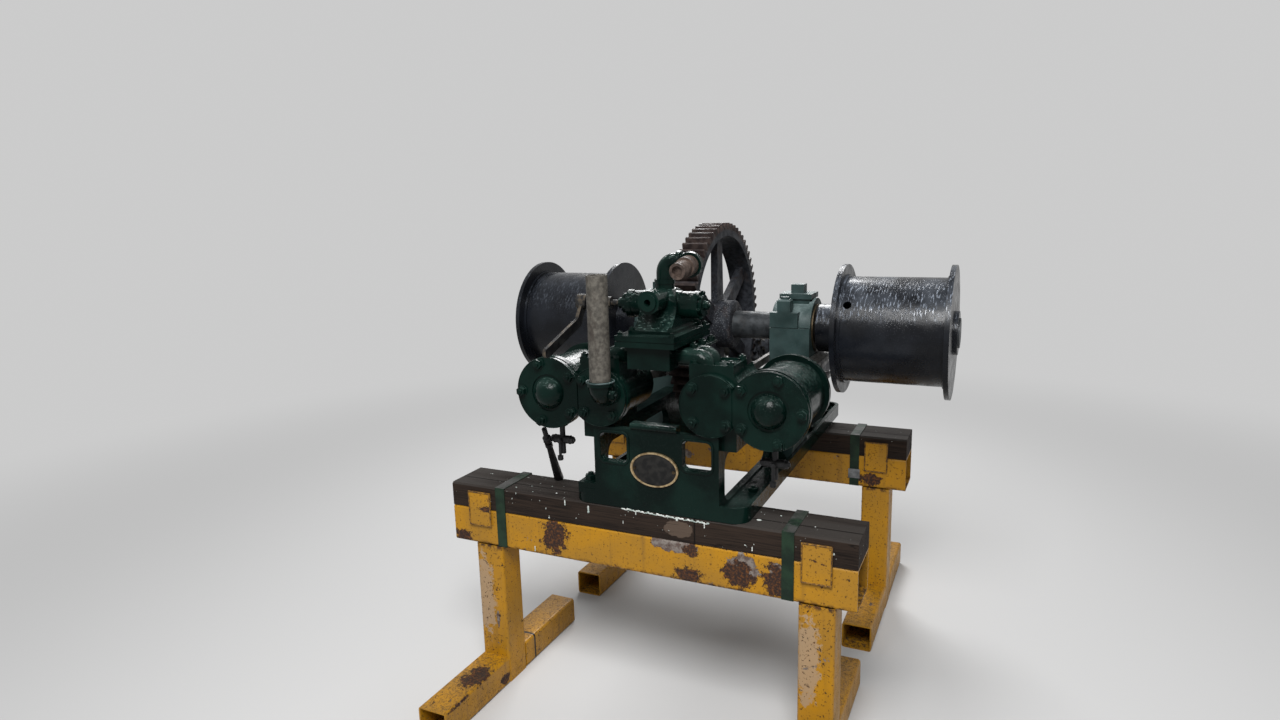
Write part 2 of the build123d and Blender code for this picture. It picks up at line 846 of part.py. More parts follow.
def pedestal():
    # One drum pedestal, standing on the base rail outside the cheek
    with BuildPart() as casting:
        with BuildSketch(along_y(shaft_y + pedestal_half_depth)):
            with BuildLine():
                Polyline(
                    (bed_half_width, rail_top_z),
                    (rail_outer_x - rail_lip, rail_top_z),
                    (rail_outer_x - rail_lip, rail_top_z + rail_lip_height),
                    (pedestal_outer_x, bed_top + pedestal_waist),
                    (pedestal_outer_x, split_z),
                    (pedestal_inner_x, split_z),
                    (pedestal_inner_x, bed_top + pedestal_waist),
                    (bed_half_width - pedestal_toe, bed_top + pedestal_toe_height),
                    (bed_half_width - pedestal_toe, bed_top),
                    (bed_half_width, bed_top),
                    close=True,
                )
            make_face()
        extrude(amount=2 * pedestal_half_depth)
        drum_x(shaft_y, shaft_z, bush_r + fit_gap, 0, pedestal_outer_x, Mode.SUBTRACT)
        mirror(about=Plane.YZ)
    return casting


save(pedestal(), "pedestals")

# Pedestal caps: half round, ringed at the outer end, with nuts on the ledges and a plugged oil box on top
with BuildPart() as pedestal_caps:
    ledge_z = cap_low_z + cap_ledge_height
    ledge_outer_x = pedestal_inner_x + cap_ledge_width
    slab_z = cap_low_z + cap_block_height
    box_between(pedestal_inner_x, ledge_outer_x, shaft_y - pedestal_half_depth, shaft_y + pedestal_half_depth,
                cap_low_z, ledge_z)
    drum_x(shaft_y, shaft_z, cap_r, pedestal_inner_x, pedestal_outer_x)
    drum_x(shaft_y, shaft_z, cap_ring_r, pedestal_outer_x - cap_ring_width, pedestal_outer_x)
    box_between(pedestal_inner_x, pedestal_outer_x, shaft_y - cap_ring_r, shaft_y + cap_ring_r,
                shaft_z - cap_ring_r, cap_low_z, Mode.SUBTRACT)
    box_between(cap_block_x - cap_block_half_width, cap_block_x + cap_block_half_width,
                shaft_y - cap_block_half_depth, shaft_y + cap_block_half_depth, ledge_z - cap_block_sink,
                slab_z)
    box_between(cap_block_x - cap_block_half_width - cap_slab_proud,
                cap_block_x + cap_block_half_width + cap_slab_proud,
                shaft_y - cap_block_half_depth - cap_slab_proud,
                shaft_y + cap_block_half_depth + cap_slab_proud, slab_z - cap_slab, slab_z)
    box_between(cap_block_x - plug_width / 2, cap_block_x + plug_width / 2, shaft_y - plug_width / 2,
                shaft_y + plug_width / 2, slab_z, slab_z + plug_height)
    nut_x = (pedestal_inner_x + ledge_outer_x) / 2
    for face in sides:
        nut_y = shaft_y + face * (pedestal_half_depth - nut_inset)
        with BuildSketch(Plane.XY.offset(ledge_z)):
            with Locations((nut_x, nut_y)):
                Rectangle(nut_width, nut_width)
        extrude(amount=nut_height - nut_chamfer)
        with BuildSketch(Plane.XY.offset(ledge_z + nut_height - nut_chamfer)):
            with Locations((nut_x, nut_y)):
                Rectangle(nut_width, nut_width)
        extrude(amount=nut_chamfer, taper=45)
        drum_z(nut_x, nut_y, stud_r, ledge_z + nut_height, ledge_z + nut_height + stud_height)
    drum_x(shaft_y, shaft_z, bush_r + fit_gap, 0, pedestal_outer_x, Mode.SUBTRACT)
    mirror(about=Plane.YZ)
save(pedestal_caps, "pedestal_caps")

# Shaft bushes with their end flanges
with BuildPart() as shaft_bushes:
    drum_x(shaft_y, shaft_z, bush_r, pedestal_inner_x, pedestal_outer_x)
    drum_x(shaft_y, shaft_z, bush_flange_r, pedestal_outer_x, pedestal_outer_x + bush_flange)
    drum_x(shaft_y, shaft_z, bush_flange_r, pedestal_inner_x - bush_flange, pedestal_inner_x)
    drum_x(shaft_y, shaft_z, shaft_r + running_gap, 0, pedestal_outer_x + bush_flange, Mode.SUBTRACT)
    mirror(about=Plane.YZ)
save(shaft_bushes, "shaft_bushes")

# Drum shaft
with BuildPart() as drum_shaft:
    drum_x(shaft_y, shaft_z, shaft_r, -shaft_half_length, shaft_half_length)
save(drum_shaft, "drum_shaft")

# Drum barrels, each with the hole that the rope end goes through
with BuildPart() as drum_barrels:
    drum_x(shaft_y, shaft_z, barrel_r, barrel_inner_x, barrel_outer_x)
    drum_x(shaft_y, shaft_z, barrel_r - barrel_wall, barrel_inner_x, barrel_outer_x, Mode.SUBTRACT)
    hole_y = cos(radians(rope_hole_angle))
    hole_z = sin(radians(rope_hole_angle))
    hole_start = (rope_hole_x, shaft_y, shaft_z)
    with BuildSketch(Plane(origin=hole_start, x_dir=(1, 0, 0), z_dir=(0, hole_y, hole_z))):
        Circle(rope_hole_r)
    extrude(amount=barrel_r + barrel_wall, mode=Mode.SUBTRACT)
    mirror(about=Plane.YZ)
save(drum_barrels, "drum_barrels")

# Inner drum flanges with the hubs that run up to the pedestals
with BuildPart() as inner_flanges:
    flange_face_x = inner_flange_x + flange_thickness
    drum_x(shaft_y, shaft_z, flange_r, inner_flange_x, flange_face_x)
    drum_x(shaft_y, shaft_z, barrel_r + spigot_step, flange_face_x, barrel_inner_x)
    drum_x(shaft_y, shaft_z, hub_r, hub_end_x, inner_flange_x)
    drum_x(shaft_y, shaft_z, shaft_r + fit_gap, hub_end_x, barrel_inner_x, Mode.SUBTRACT)
    mirror(about=Plane.YZ)
save(inner_flanges, "inner_flanges")

# Outer drum flanges
with BuildPart() as outer_flanges:
    flange_end_x = outer_flange_x + flange_thickness
    drum_x(shaft_y, shaft_z, barrel_r + spigot_step, barrel_outer_x, outer_flange_x)
    drum_x(shaft_y, shaft_z, flange_r, outer_flange_x, flange_end_x)
    boss_end_x = flange_end_x + outer_boss_height
    drum_x(shaft_y, shaft_z, outer_boss_r, flange_end_x, boss_end_x)
    drum_x(shaft_y, shaft_z, shaft_r + fit_gap, barrel_outer_x, boss_end_x, Mode.SUBTRACT)
    mirror(about=Plane.YZ)
save(outer_flanges, "outer_flanges")


def involute(angle):
    return tan(angle) - angle


def tooth_half_angle(teeth, r):
    # Half the angle that a tooth spans at radius r, with its share of the backlash taken off
    pitch_r = circular_pitch * teeth / (2 * pi)
    pressure = radians(pressure_angle)
    base_r = pitch_r * cos(pressure)
    at_r = acos(min(1.0, base_r / r))
    return pi / (2 * teeth) - backlash / (4 * pitch_r) + involute(pressure) - involute(at_r)


def tooth_outline(teeth, centre, phase):
    # Outline of a whole gear with flat-sided teeth, one tooth centred on the phase angle
    pitch_r = circular_pitch * teeth / (2 * pi)
    levels = (pitch_r - tooth_root_depth, pitch_r - tooth_tip_height / 3, pitch_r + tooth_tip_height)
    points = []
    for tooth in range(teeth):
        middle = radians(phase) + 2 * pi * tooth / teeth
        for flank in sides:
            order = levels if flank < 0 else reversed(levels)
            for r in order:
                angle = middle + flank * tooth_half_angle(teeth, r)
                points.append((centre[0] + r * cos(angle), centre[1] + r * sin(angle)))
    return points


# Spur wheel, keyed to the drum shaft
with BuildPart() as spur_wheel:
    wheel_left_x = wheel_right_x - wheel_face
    wheel_root_r = wheel_pitch_r - tooth_root_depth
    rim_inner_r = wheel_root_r - wheel_rim
    with BuildSketch(along_x(wheel_left_x)):
        with BuildLine():
            Polyline(*tooth_outline(wheel_teeth, (shaft_y, shaft_z), mesh_angle), close=True)
        make_face()
        with Locations((shaft_y, shaft_z)):
            Circle(rim_inner_r, mode=Mode.SUBTRACT)
    extrude(amount=wheel_face)
    arm_reach = rim_inner_r + wheel_rim / 2
    with BuildSketch(along_x(arm_x - arm_thickness / 2)):
        with Locations((shaft_y, shaft_z)):
            with PolarLocations(0, wheel_arms, start_angle=arm_start):
                Polygon(
                    (0, -arm_root_width / 2),
                    (arm_reach, -arm_tip_width / 2),
                    (arm_reach, arm_tip_width / 2),
                    (0, arm_root_width / 2),
                    align=None,
                )
    extrude(amount=arm_thickness)
    drum_x(shaft_y, shaft_z, wheel_hub_r, wheel_hub_left_x, wheel_hub_right_x - wheel_hub_bevel)
    with BuildSketch(along_x(wheel_hub_right_x - wheel_hub_bevel)):
        with Locations((shaft_y, shaft_z)):
            Circle(wheel_hub_r)
    extrude(amount=wheel_hub_bevel, taper=45)
    drum_x(shaft_y, shaft_z, shaft_r + fit_gap, wheel_hub_left_x, wheel_hub_right_x, Mode.SUBTRACT)
save(spur_wheel, "spur_wheel")

# Pinion, running on the crankshaft, with dogs on its right boss
with BuildPart() as pinion:
    with BuildSketch(along_x(pinion_left_x)):
        with BuildLine():
            Polyline(
                *tooth_outline(pinion_teeth, (crank_y, crank_z), mesh_angle + 180 + 180 / pinion_teeth),
                close=True,
            )
        make_face()
    extrude(amount=pinion_right_x - pinion_left_x)
    dog_face_x = pinion_right_x + pinion_boss_length
    drum_x(crank_y, crank_z, pinion_boss_r, pinion_right_x, dog_face_x)
    for turn in (0, 90):
        with BuildSketch(along_x(dog_face_x - dog_depth)):
            with Locations((crank_y, crank_z)):
                Rectangle(3 * dog_r, 2 * dog_depth, rotation=turn)
        extrude(amount=dog_depth, mode=Mode.SUBTRACT)
    drum_x(crank_y, crank_z, crankshaft_r + running_gap, pinion_left_x, dog_face_x, Mode.SUBTRACT)
save(pinion, "pinion")

# Sliding dog clutch, drawn clear of the pinion
with BuildPart() as dog_clutch:
    clutch_x = dog_face_x + dog_gap
    drum_x(crank_y, crank_z, dog_r, clutch_x + dog_depth, clutch_x + dog_length)
    for turn in (0, 90):
        with BuildSketch(along_x(clutch_x)):
            with Locations((crank_y, crank_z)):
                Rectangle(2 * (dog_r - dog_play), 2 * (dog_depth - dog_play), rotation=turn)
        extrude(amount=dog_depth + 1)
    with BuildSketch(along_x(clutch_x + dog_length - 2 * dog_groove)):
        with Locations((crank_y, crank_z)):
            Circle(dog_r + 1)
            Circle(dog_r - dog_groove, mode=Mode.SUBTRACT)
    extrude(amount=dog_groove, mode=Mode.SUBTRACT)
    drum_x(crank_y, crank_z, crankshaft_r + fit_gap, clutch_x, clutch_x + dog_length, Mode.SUBTRACT)
save(dog_clutch, "dog_clutch")

# Distribution casting: a box under a double plate, with two bent ducts to each valve chest
with BuildPart() as distribution_casting:
    duct_y = (pad_y0 + pad_y1) / 2
    flange_top_z = pad_z + duct_flange
    box_between(pad_x0, pad_x1, pad_y0, pad_y1, pad_z, flange_top_z)
    box_between(pad_x0 + duct_edge, pad_x1 - duct_edge, pad_y0 + duct_edge, pad_y1 - duct_edge,
                flange_top_z - duct_pocket, flange_top_z, Mode.SUBTRACT)
    for lane in sides:
        lane_y = duct_y + lane * duct_half_spread
        with BuildLine() as duct_route:
            FilletPolyline(
                (0, lane_y, duct_z),
                (duct_x, lane_y, duct_z),
                (duct_x, lane_y, pad_z),
                radius=duct_z - pad_z - duct_land,
            )
        with BuildSketch(along_x(0)):
            with Locations((lane_y, duct_z)):
                Circle(duct_r)
        sweep(path=duct_route.line)
    mirror(about=Plane.YZ)
    layer_z = plate_top_z - plate_layer
    box_top_z = layer_z - plate_step - plate_layer
    box_between(-plate_half_x, plate_half_x, plate_front_y, plate_back_y, layer_z, plate_top_z)
    box_between(-plate_half_x + plate_groove, plate_half_x - plate_groove, plate_front_y + plate_groove,
                plate_back_y - plate_groove, layer_z - plate_step, layer_z)
    box_between(-plate_half_x, plate_half_x, plate_front_y, plate_back_y, box_top_z, layer_z - plate_step)
    box_between(-box_half_x, box_half_x, plate_front_y + box_front_inset, plate_back_y - box_back_inset,
                pad_z, box_top_z)
save(distribution_casting, "distribution_casting")

# Control valve body: a barrel across the top that flares down to its base, round shouldered, with a ringed
# boss on its face and a collar for the steam neck
with BuildPart() as control_valve:
    body_low_z = plate_top_z + valve_base_thickness
    with BuildSketch(along_x(-valve_half_x)):
        with BuildLine():
            Line((valve_y - valve_body_r, valve_z), (valve_y + valve_body_r, valve_z))
            ThreePointArc(
                (valve_y + valve_body_r, valve_z),
                (valve_y + valve_flare_y, valve_flare_z),
                (valve_y + valve_foot_half_y, body_low_z),
            )
            Line((valve_y + valve_foot_half_y, body_low_z), (valve_y - valve_foot_half_y, body_low_z))
            ThreePointArc(
                (valve_y - valve_foot_half_y, body_low_z),
                (valve_y - valve_flare_y, valve_flare_z),
                (valve_y - valve_body_r, valve_z),
            )
        make_face()
        with Locations((valve_y, valve_z)):
            Circle(valve_body_r)
    extrude(amount=2 * valve_half_x)
    with BuildSketch(along_y(valve_y + valve_foot_half_y)):
        with BuildLine():
            Polyline(
                (-valve_half_x, valve_z),
                (-valve_half_x, body_low_z),
                (valve_half_x, body_low_z),
                (valve_half_x, valve_z),
            )
            TangentArc((valve_half_x, valve_z), (valve_crown_half, valve_z + valve_body_r), tangent=(0, 1))
            Line((valve_crown_half, valve_z + valve_body_r), (-valve_crown_half, valve_z + valve_body_r))
            TangentArc((-valve_half_x, valve_z), (-valve_crown_half, valve_z + valve_body_r), tangent=(0, 1))
        make_face()
    extrude(amount=2 * valve_foot_half_y, mode=Mode.INTERSECT)
    box_between(-valve_base_half_x, valve_base_half_x, valve_y - valve_base_half_y,
                valve_y + valve_base_half_y, plate_top_z, body_low_z)
    drum_x(valve_y, valve_z, valve_end_r, -valve_half_x, valve_half_x)
    drum_z(0, valve_y, valve_neck_r, valve_z, valve_top_z)
    drum_y(0, valve_y, valve_face_boss_z, valve_face_boss_r, valve_face_boss_y)
    drum_y(0, valve_face_boss_y, valve_face_boss_z, valve_face_ring_r, valve_face_boss_y - valve_face_ring)
    drum_y(0, valve_face_boss_y - valve_face_ring, valve_face_boss_z, valve_face_bore_r,
           valve_face_boss_y - valve_face_ring + valve_face_bore, Mode.SUBTRACT)
    drum_x(valve_y, valve_z, spindle_r + running_gap, spindle_inner_x, -valve_half_x / 2, Mode.SUBTRACT)
save(control_valve, "control_valve")

# Bonnets at both ends of the control valve, the left one with a gland for the spindle
with BuildPart() as valve_bonnets:
    flange_x = valve_half_x + bonnet_body
    neck_x = flange_x + bonnet_flange
    for side in sides:
        drum_x(valve_y, valve_z, bonnet_body_r, side * valve_half_x, side * flange_x)
        drum_x(valve_y, valve_z, bonnet_r, side * flange_x, side * neck_x)
    gland_x = neck_x + bonnet_neck
    drum_x(valve_y, valve_z, bonnet_neck_r, neck_x, neck_x + bonnet_cover)
    drum_x(valve_y, valve_z, bonnet_neck_r, -neck_x, -gland_x)
    drum_x(valve_y, valve_z, bonnet_gland_r, -gland_x, -gland_x - bonnet_gland)
    drum_x(valve_y, valve_z, spindle_r + running_gap, -valve_half_x, -gland_x - bonnet_gland, Mode.SUBTRACT)
save(valve_bonnets, "valve_bonnets")

# Control lever on the valve spindle
with BuildPart() as control_lever:
    drum_x(valve_y, valve_z, spindle_r, spindle_outer_x, spindle_inner_x)
    drum_x(valve_y, valve_z, spindle_collar_r, spindle_collar_x, spindle_collar_x + spindle_collar)
    drum_x(valve_y, valve_z, lever_boss_r, lever_x - lever_boss_width / 2, lever_x + lever_boss_width / 2)
    with BuildSketch(along_x(lever_x - lever_thickness / 2)):
        with BuildLine():
            lever_line = Polyline(
                (valve_y, valve_z), (lever_knee_y, lever_knee_z), (lever_end_y, lever_end_z))
            offset(lever_line, amount=lever_width / 2, kind=Kind.ARC)
        make_face()
    extrude(amount=lever_thickness)
save(control_lever, "control_lever")

# Steam inlet, up from the valve, over to the right and forward to a beaded mouth
with BuildPart() as steam_inlet:
    tail = Vector(0, -cos(radians(inlet_fall)), -sin(radians(inlet_fall)))
    elbow_point = Vector(inlet_elbow_x, valve_y, inlet_z)
    mouth = elbow_point + tail * inlet_tail
    with BuildLine() as inlet_route:
        FilletPolyline(
            (0, valve_y, valve_top_z),
            (0, valve_y, inlet_z),
            elbow_point,
            mouth,
            radius=inlet_bend,
        )
    with BuildSketch(Plane.XY.offset(valve_top_z)):
        with Locations((0, valve_y)):
            Circle(neck_r)
    sweep(path=inlet_route.line)
    drum_z(0, valve_y, neck_band_r, valve_top_z, valve_top_z + neck_band)
    drum_x(valve_y, inlet_z, neck_band_r, (inlet_elbow_x - neck_band) / 2, (inlet_elbow_x + neck_band) / 2)
    with BuildSketch(Plane(origin=mouth, x_dir=(1, 0, 0), z_dir=tail * -1)):
        Circle(mouth_r)
    extrude(amount=mouth_width)
save(steam_inlet, "steam_inlet")

# Coupling that takes the steam supply: a socket and a plain tail
with BuildPart() as hose_coupling:
    for start, length, r in (
        (0, coupling_length, coupling_r),
        (coupling_length, tail_length, tail_r),
    ):
        with BuildSketch(Plane(origin=mouth + tail * start, x_dir=(1, 0, 0), z_dir=tail)):
            Circle(r)
        extrude(amount=length)
    with BuildSketch(Plane(origin=mouth, x_dir=(1, 0, 0), z_dir=tail)):
        Circle(coupling_bore_r)
    extrude(amount=coupling_length + tail_length, mode=Mode.SUBTRACT)
save(hose_coupling, "hose_coupling")

# Exhaust elbow, screwed into the left chest cover and turning up
with BuildPart() as exhaust_elbow:
    with BuildLine() as exhaust_route:
        FilletPolyline(
            (stack_x, cover_face_y, exhaust_z),
            (stack_x, stack_y, exhaust_z),
            (stack_x, stack_y, stack_foot_z + exhaust_collar),
            radius=exhaust_bend,
        )
    with BuildSketch(along_y(cover_face_y)):
        with Locations((stack_x, exhaust_z)):
            Circle(exhaust_elbow_r)
    sweep(path=exhaust_route.line)
    drum_z(stack_x, stack_y, exhaust_collar_r, stack_foot_z, stack_foot_z + exhaust_collar)
    drum_z(stack_x, stack_y, stack_r + fit_gap, stack_foot_z - exhaust_socket, stack_foot_z + exhaust_collar,
           Mode.SUBTRACT)
save(exhaust_elbow, "exhaust_elbow")

# Exhaust stack, a plain open pipe
with BuildPart() as exhaust_stack:
    drum_z(stack_x, stack_y, stack_r, stack_foot_z - exhaust_socket, stack_top_z)
    drum_z(stack_x, stack_y, stack_r - stack_wall, stack_foot_z - exhaust_socket, stack_top_z, Mode.SUBTRACT)
save(exhaust_stack, "exhaust_stack")
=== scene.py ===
import json
from math import cos, pi, radians, sin

import bmesh
import bpy
from mathutils import Matrix, Vector


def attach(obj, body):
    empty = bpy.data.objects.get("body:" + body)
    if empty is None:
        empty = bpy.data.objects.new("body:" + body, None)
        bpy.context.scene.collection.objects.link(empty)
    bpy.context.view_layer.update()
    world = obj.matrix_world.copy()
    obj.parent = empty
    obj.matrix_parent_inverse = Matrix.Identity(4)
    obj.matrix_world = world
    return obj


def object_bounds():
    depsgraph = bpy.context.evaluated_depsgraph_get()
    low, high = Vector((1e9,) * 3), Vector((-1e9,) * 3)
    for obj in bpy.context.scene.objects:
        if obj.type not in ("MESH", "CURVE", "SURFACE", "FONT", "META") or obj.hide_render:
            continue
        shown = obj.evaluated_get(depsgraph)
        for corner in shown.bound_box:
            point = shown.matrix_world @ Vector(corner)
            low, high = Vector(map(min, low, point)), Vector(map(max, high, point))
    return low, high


# The winch as packed, and its box before anything is added
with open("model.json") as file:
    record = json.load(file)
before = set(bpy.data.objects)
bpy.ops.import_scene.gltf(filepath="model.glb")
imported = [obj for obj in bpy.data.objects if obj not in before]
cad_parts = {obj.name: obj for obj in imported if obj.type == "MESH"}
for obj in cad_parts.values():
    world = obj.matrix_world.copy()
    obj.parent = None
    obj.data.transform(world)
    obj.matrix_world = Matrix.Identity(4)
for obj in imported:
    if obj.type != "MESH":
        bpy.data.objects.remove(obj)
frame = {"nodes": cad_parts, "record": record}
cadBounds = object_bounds()
nodes = frame["nodes"]
print("frame loaded:", len(nodes), "nodes")

# Camera, at the photo's own viewpoint
shot = {
    "place": (0.8471, -2.3516, 1.4581),
    "yaw": 25.4586,
    "pitch": 11.0605,
    "roll": -1.5701,
    "lens": 22.372,
    "sensor": 36,
}


def placeCamera():
    camera = bpy.data.objects.new("camera", bpy.data.cameras.new("camera"))
    bpy.context.scene.collection.objects.link(camera)
    yaw, pitch, roll = (radians(shot[name]) for name in ("yaw", "pitch", "roll"))
    forward = Vector((-sin(yaw) * cos(pitch), cos(yaw) * cos(pitch), -sin(pitch)))
    right = Vector((cos(yaw), sin(yaw), 0))
    up = right.cross(forward)
    leanRight = cos(roll) * right + sin(roll) * up
    leanUp = cos(roll) * up - sin(roll) * right
    turned = Matrix((leanRight, leanUp, -forward)).transposed().to_4x4()
    camera.matrix_world = Matrix.Translation(shot["place"]) @ turned
    camera.data.lens = shot["lens"]
    camera.data.sensor_width = shot["sensor"]
    camera.data.sensor_fit = "HORIZONTAL"
    bpy.context.scene.camera = camera


placeCamera()


# Shader maths
class Link:
    # A socket that adds Math nodes when it is used in a sum
    def __init__(self, paint, socket):
        self.paint = paint
        self.socket = socket

    def math(self, operation, first, second=0):
        return self.paint.node("Math", {"operation": operation}, {0: first, 1: second})

    def __add__(self, other):
        return self.math("ADD", self, other)

    def __sub__(self, other):
        return self.math("SUBTRACT", self, other)

    def __rsub__(self, other):
        return self.math("SUBTRACT", other, self)

    def __mul__(self, other):
        return self.math("MULTIPLY", self, other)

    def __abs__(self):
        return self.math("ABSOLUTE", self)

    def __or__(self, other):
        return self.math("MAXIMUM", self, other)

    __radd__ = __add__
    __rmul__ = __mul__


# How noise is cut: the edge of a blot, and the middle range that roughness follows
cuts = {"blotDetail": 7, "blotRough": 0.72, "blotEdge": (1.0, 0.93), "roughness": (0.3, 0.7)}


class Paint:
    # A material, or the world, and the nodes that make it
    def __init__(self, name, kind="materials"):
        self.material = getattr(bpy.data, kind).new(name)
        self.material.use_nodes = True
        self.tree = self.material.node_tree
        self.tree.nodes.clear()
        self.place = self.node("TexCoord", out="Object")
        axes = (self.node("SeparateXYZ", None, {0: self.place}, axis) for axis in "XYZ")
        self.across, self.deep, self.high = axes

    def node(self, kind, settings=None, values=None, out=0):
        made = self.tree.nodes.new("ShaderNode" + kind)
        for name, setting in (settings or {}).items():
            setattr(made, name, setting)
        for name, value in (values or {}).items():
            if isinstance(value, Link):
                self.tree.links.new(value.socket, made.inputs[name])
            elif made.inputs[name].type == "RGBA":
                made.inputs[name].default_value = (*value, 1)
            else:
                made.inputs[name].default_value = value
        return Link(self, made.outputs[out]) if made.outputs else made

    def cloud(self, scale, detail, stretch=None, rough=0.5):
        place = self.place
        if stretch:
            place = self.node("Mapping", None, {"Vector": place, "Scale": stretch})
        values = {"Vector": place, "Scale": scale, "Detail": detail, "Roughness": rough}
        return self.node("TexNoise", None, values)

    def ramp(self, value, low, high, start=0, end=1):
        limits = {0: value, 1: low, 2: high, 3: start, 4: end}
        return self.node("MapRange", {"interpolation_type": "SMOOTHSTEP"}, limits)

    def speckle(self, scale, detail, low, high, stretch=None, rough=0.5):
        # Noise cut into patches: 0 at low, 1 at high
        return self.ramp(self.cloud(scale, detail, stretch, rough), low, high)

    def roughness(self, scale, detail, least, most):
        return self.ramp(self.cloud(scale, detail), *cuts["roughness"], least, most)

    def drops(self, scale, low, high):
        cells = self.node("TexVoronoi", None, {"Vector": self.place, "Scale": scale})
        return self.ramp(cells, low, high)

    def blend(self, mask, first, second):
        return self.node("Mix", {"data_type": "RGBA"}, {0: mask, 6: first, 7: second}, 2)

    def facing(self, axis):
        normal = self.node("TexCoord", out="Normal")
        return self.node("SeparateXYZ", None, {0: normal}, axis)

    def reach(self, centre, size):
        # 1 on the ellipsoid of that half size about the centre
        away = self.node("VectorMath", {"operation": "SUBTRACT"}, {0: self.place, 1: centre})
        scaled = self.node("VectorMath", {"operation": "DIVIDE"}, {0: away, 1: size})
        return self.node("VectorMath", {"operation": "LENGTH"}, {0: scaled}, "Value")

    def blots(self, spots, ragged, scale):
        # Patches where the real one has them, their edges broken up by noise
        wander = (self.cloud(scale, cuts["blotDetail"], rough=cuts["blotRough"]) - 0.5) * ragged
        mask = 0
        for centre, size in spots:
            mask = self.ramp(self.reach(centre, size) + wander, *cuts["blotEdge"]) | mask
        return mask

    def bump(self, height, distance):
        return self.node("Bump", None, {"Height": height, "Distance": distance, "Strength": 1})

    def finish(self, values):
        shader = self.node("BsdfPrincipled", None, values)
        self.node("OutputMaterial", None, {"Surface": shader})
        return self.material


# Enamels, wet with condensed steam, with painted highlights: a lighter top sheen, and light glints on drops
# and streaked runs
enamels = {
    "green_enamel": {
        "deep": (0.0010, 0.0050, 0.0039), "light": (0.0025, 0.0118, 0.0089), "glint": (0.11, 0.19, 0.165),
        "patch": 9, "wetPatch": 5, "beads": 190, "beadGlint": 0.05, "sheenAndWear": 0.12, "rough": (0.07, 0.25),
        "coat": 0.7, "shine": 0.11, "relief": 0.0008, "lean": (0.35, 0.70), "sheenFrom": (-3, -2),
        "runs": 190, "runStretch": (0.4, 1, 0.3), "runGlint": 0.35,
    },
    "green_pedestal": {
        "deep": (0.011, 0.024, 0.023), "light": (0.026, 0.048, 0.047), "glint": (0.17, 0.22, 0.22),
        "patch": 11, "wetPatch": 6, "beads": 210, "beadGlint": 0.15, "sheenAndWear": 0.75, "rough": (0.38, 0.6),
        "coat": 0.1, "shine": 0.3, "relief": 0.0005, "lean": (0.35, 0.70), "sheenFrom": (-3, -2),
        "runs": 230, "runStretch": (1, 1, 0.4), "runGlint": 0.10,
    },
    "blue_black_drum": {
        "deep": (0.0035, 0.0040, 0.0055), "light": (0.0085, 0.0100, 0.0135), "glint": (0.21, 0.24, 0.29),
        "patch": 7, "wetPatch": 4, "beads": 190, "beadGlint": 0.08, "sheenAndWear": 0.20, "rough": (0.20, 0.36),
        "coat": 0.5, "shine": 0.19, "relief": 0.0004, "lean": (0.24, 0.48), "sheenFrom": (-0.2, 0.2),
        "runs": 210, "runStretch": (1, 0.22, 0.22), "runGlint": 0.75,
    },
    # On the strap the glint tone is the weathered grey of its top, a real colour; its drops and runs take
    # the same grey
    "green_strap": {
        "deep": (0.0035, 0.012, 0.0065), "light": (0.010, 0.028, 0.014), "glint": (0.055, 0.055, 0.052),
        "patch": 22, "wetPatch": 12, "beads": 320, "beadGlint": 0.4, "sheenAndWear": 1.7, "rough": (0.45, 0.65),
        "coat": 0.0, "shine": 0.25, "relief": 0.0003, "lean": (0.35, 0.70), "sheenFrom": (-3, -2),
        "runs": 300, "runStretch": (1, 1, 0.3), "runGlint": 0.2,
    },
}
# Shared by the enamels: noises as detail, low and high, with the scale first where it is shared too
wetAndSheen = {
    "patches": (5, 0.38, 0.64), "leastShare": 0.2, "sheenAndWear": (17, 5, 0.36, 0.7), "sheenAndWearFacing": (0.1, 0.95),
    "wetPatches": (3, 0.36, 0.6), "bead": (0.42, 0.12), "beadFacing": (-0.1, 0.6), "beadCoat": 0.3,
    "level": (0.98, 0.85), "runDetail": (5, 0.53, 0.63), "runRough": 0.65,
    "coatRough": 0.08, "roughNoise": (26, 3),
    # The uneven ground, as whole noises: brush marks, and the paint's own pebbled skin
    "brushed": (55, 4, (1, 1, 0.35)), "brushedShare": 0.8, "peel": (105, 3, None, 0.6), "peelShare": 0.5,
}


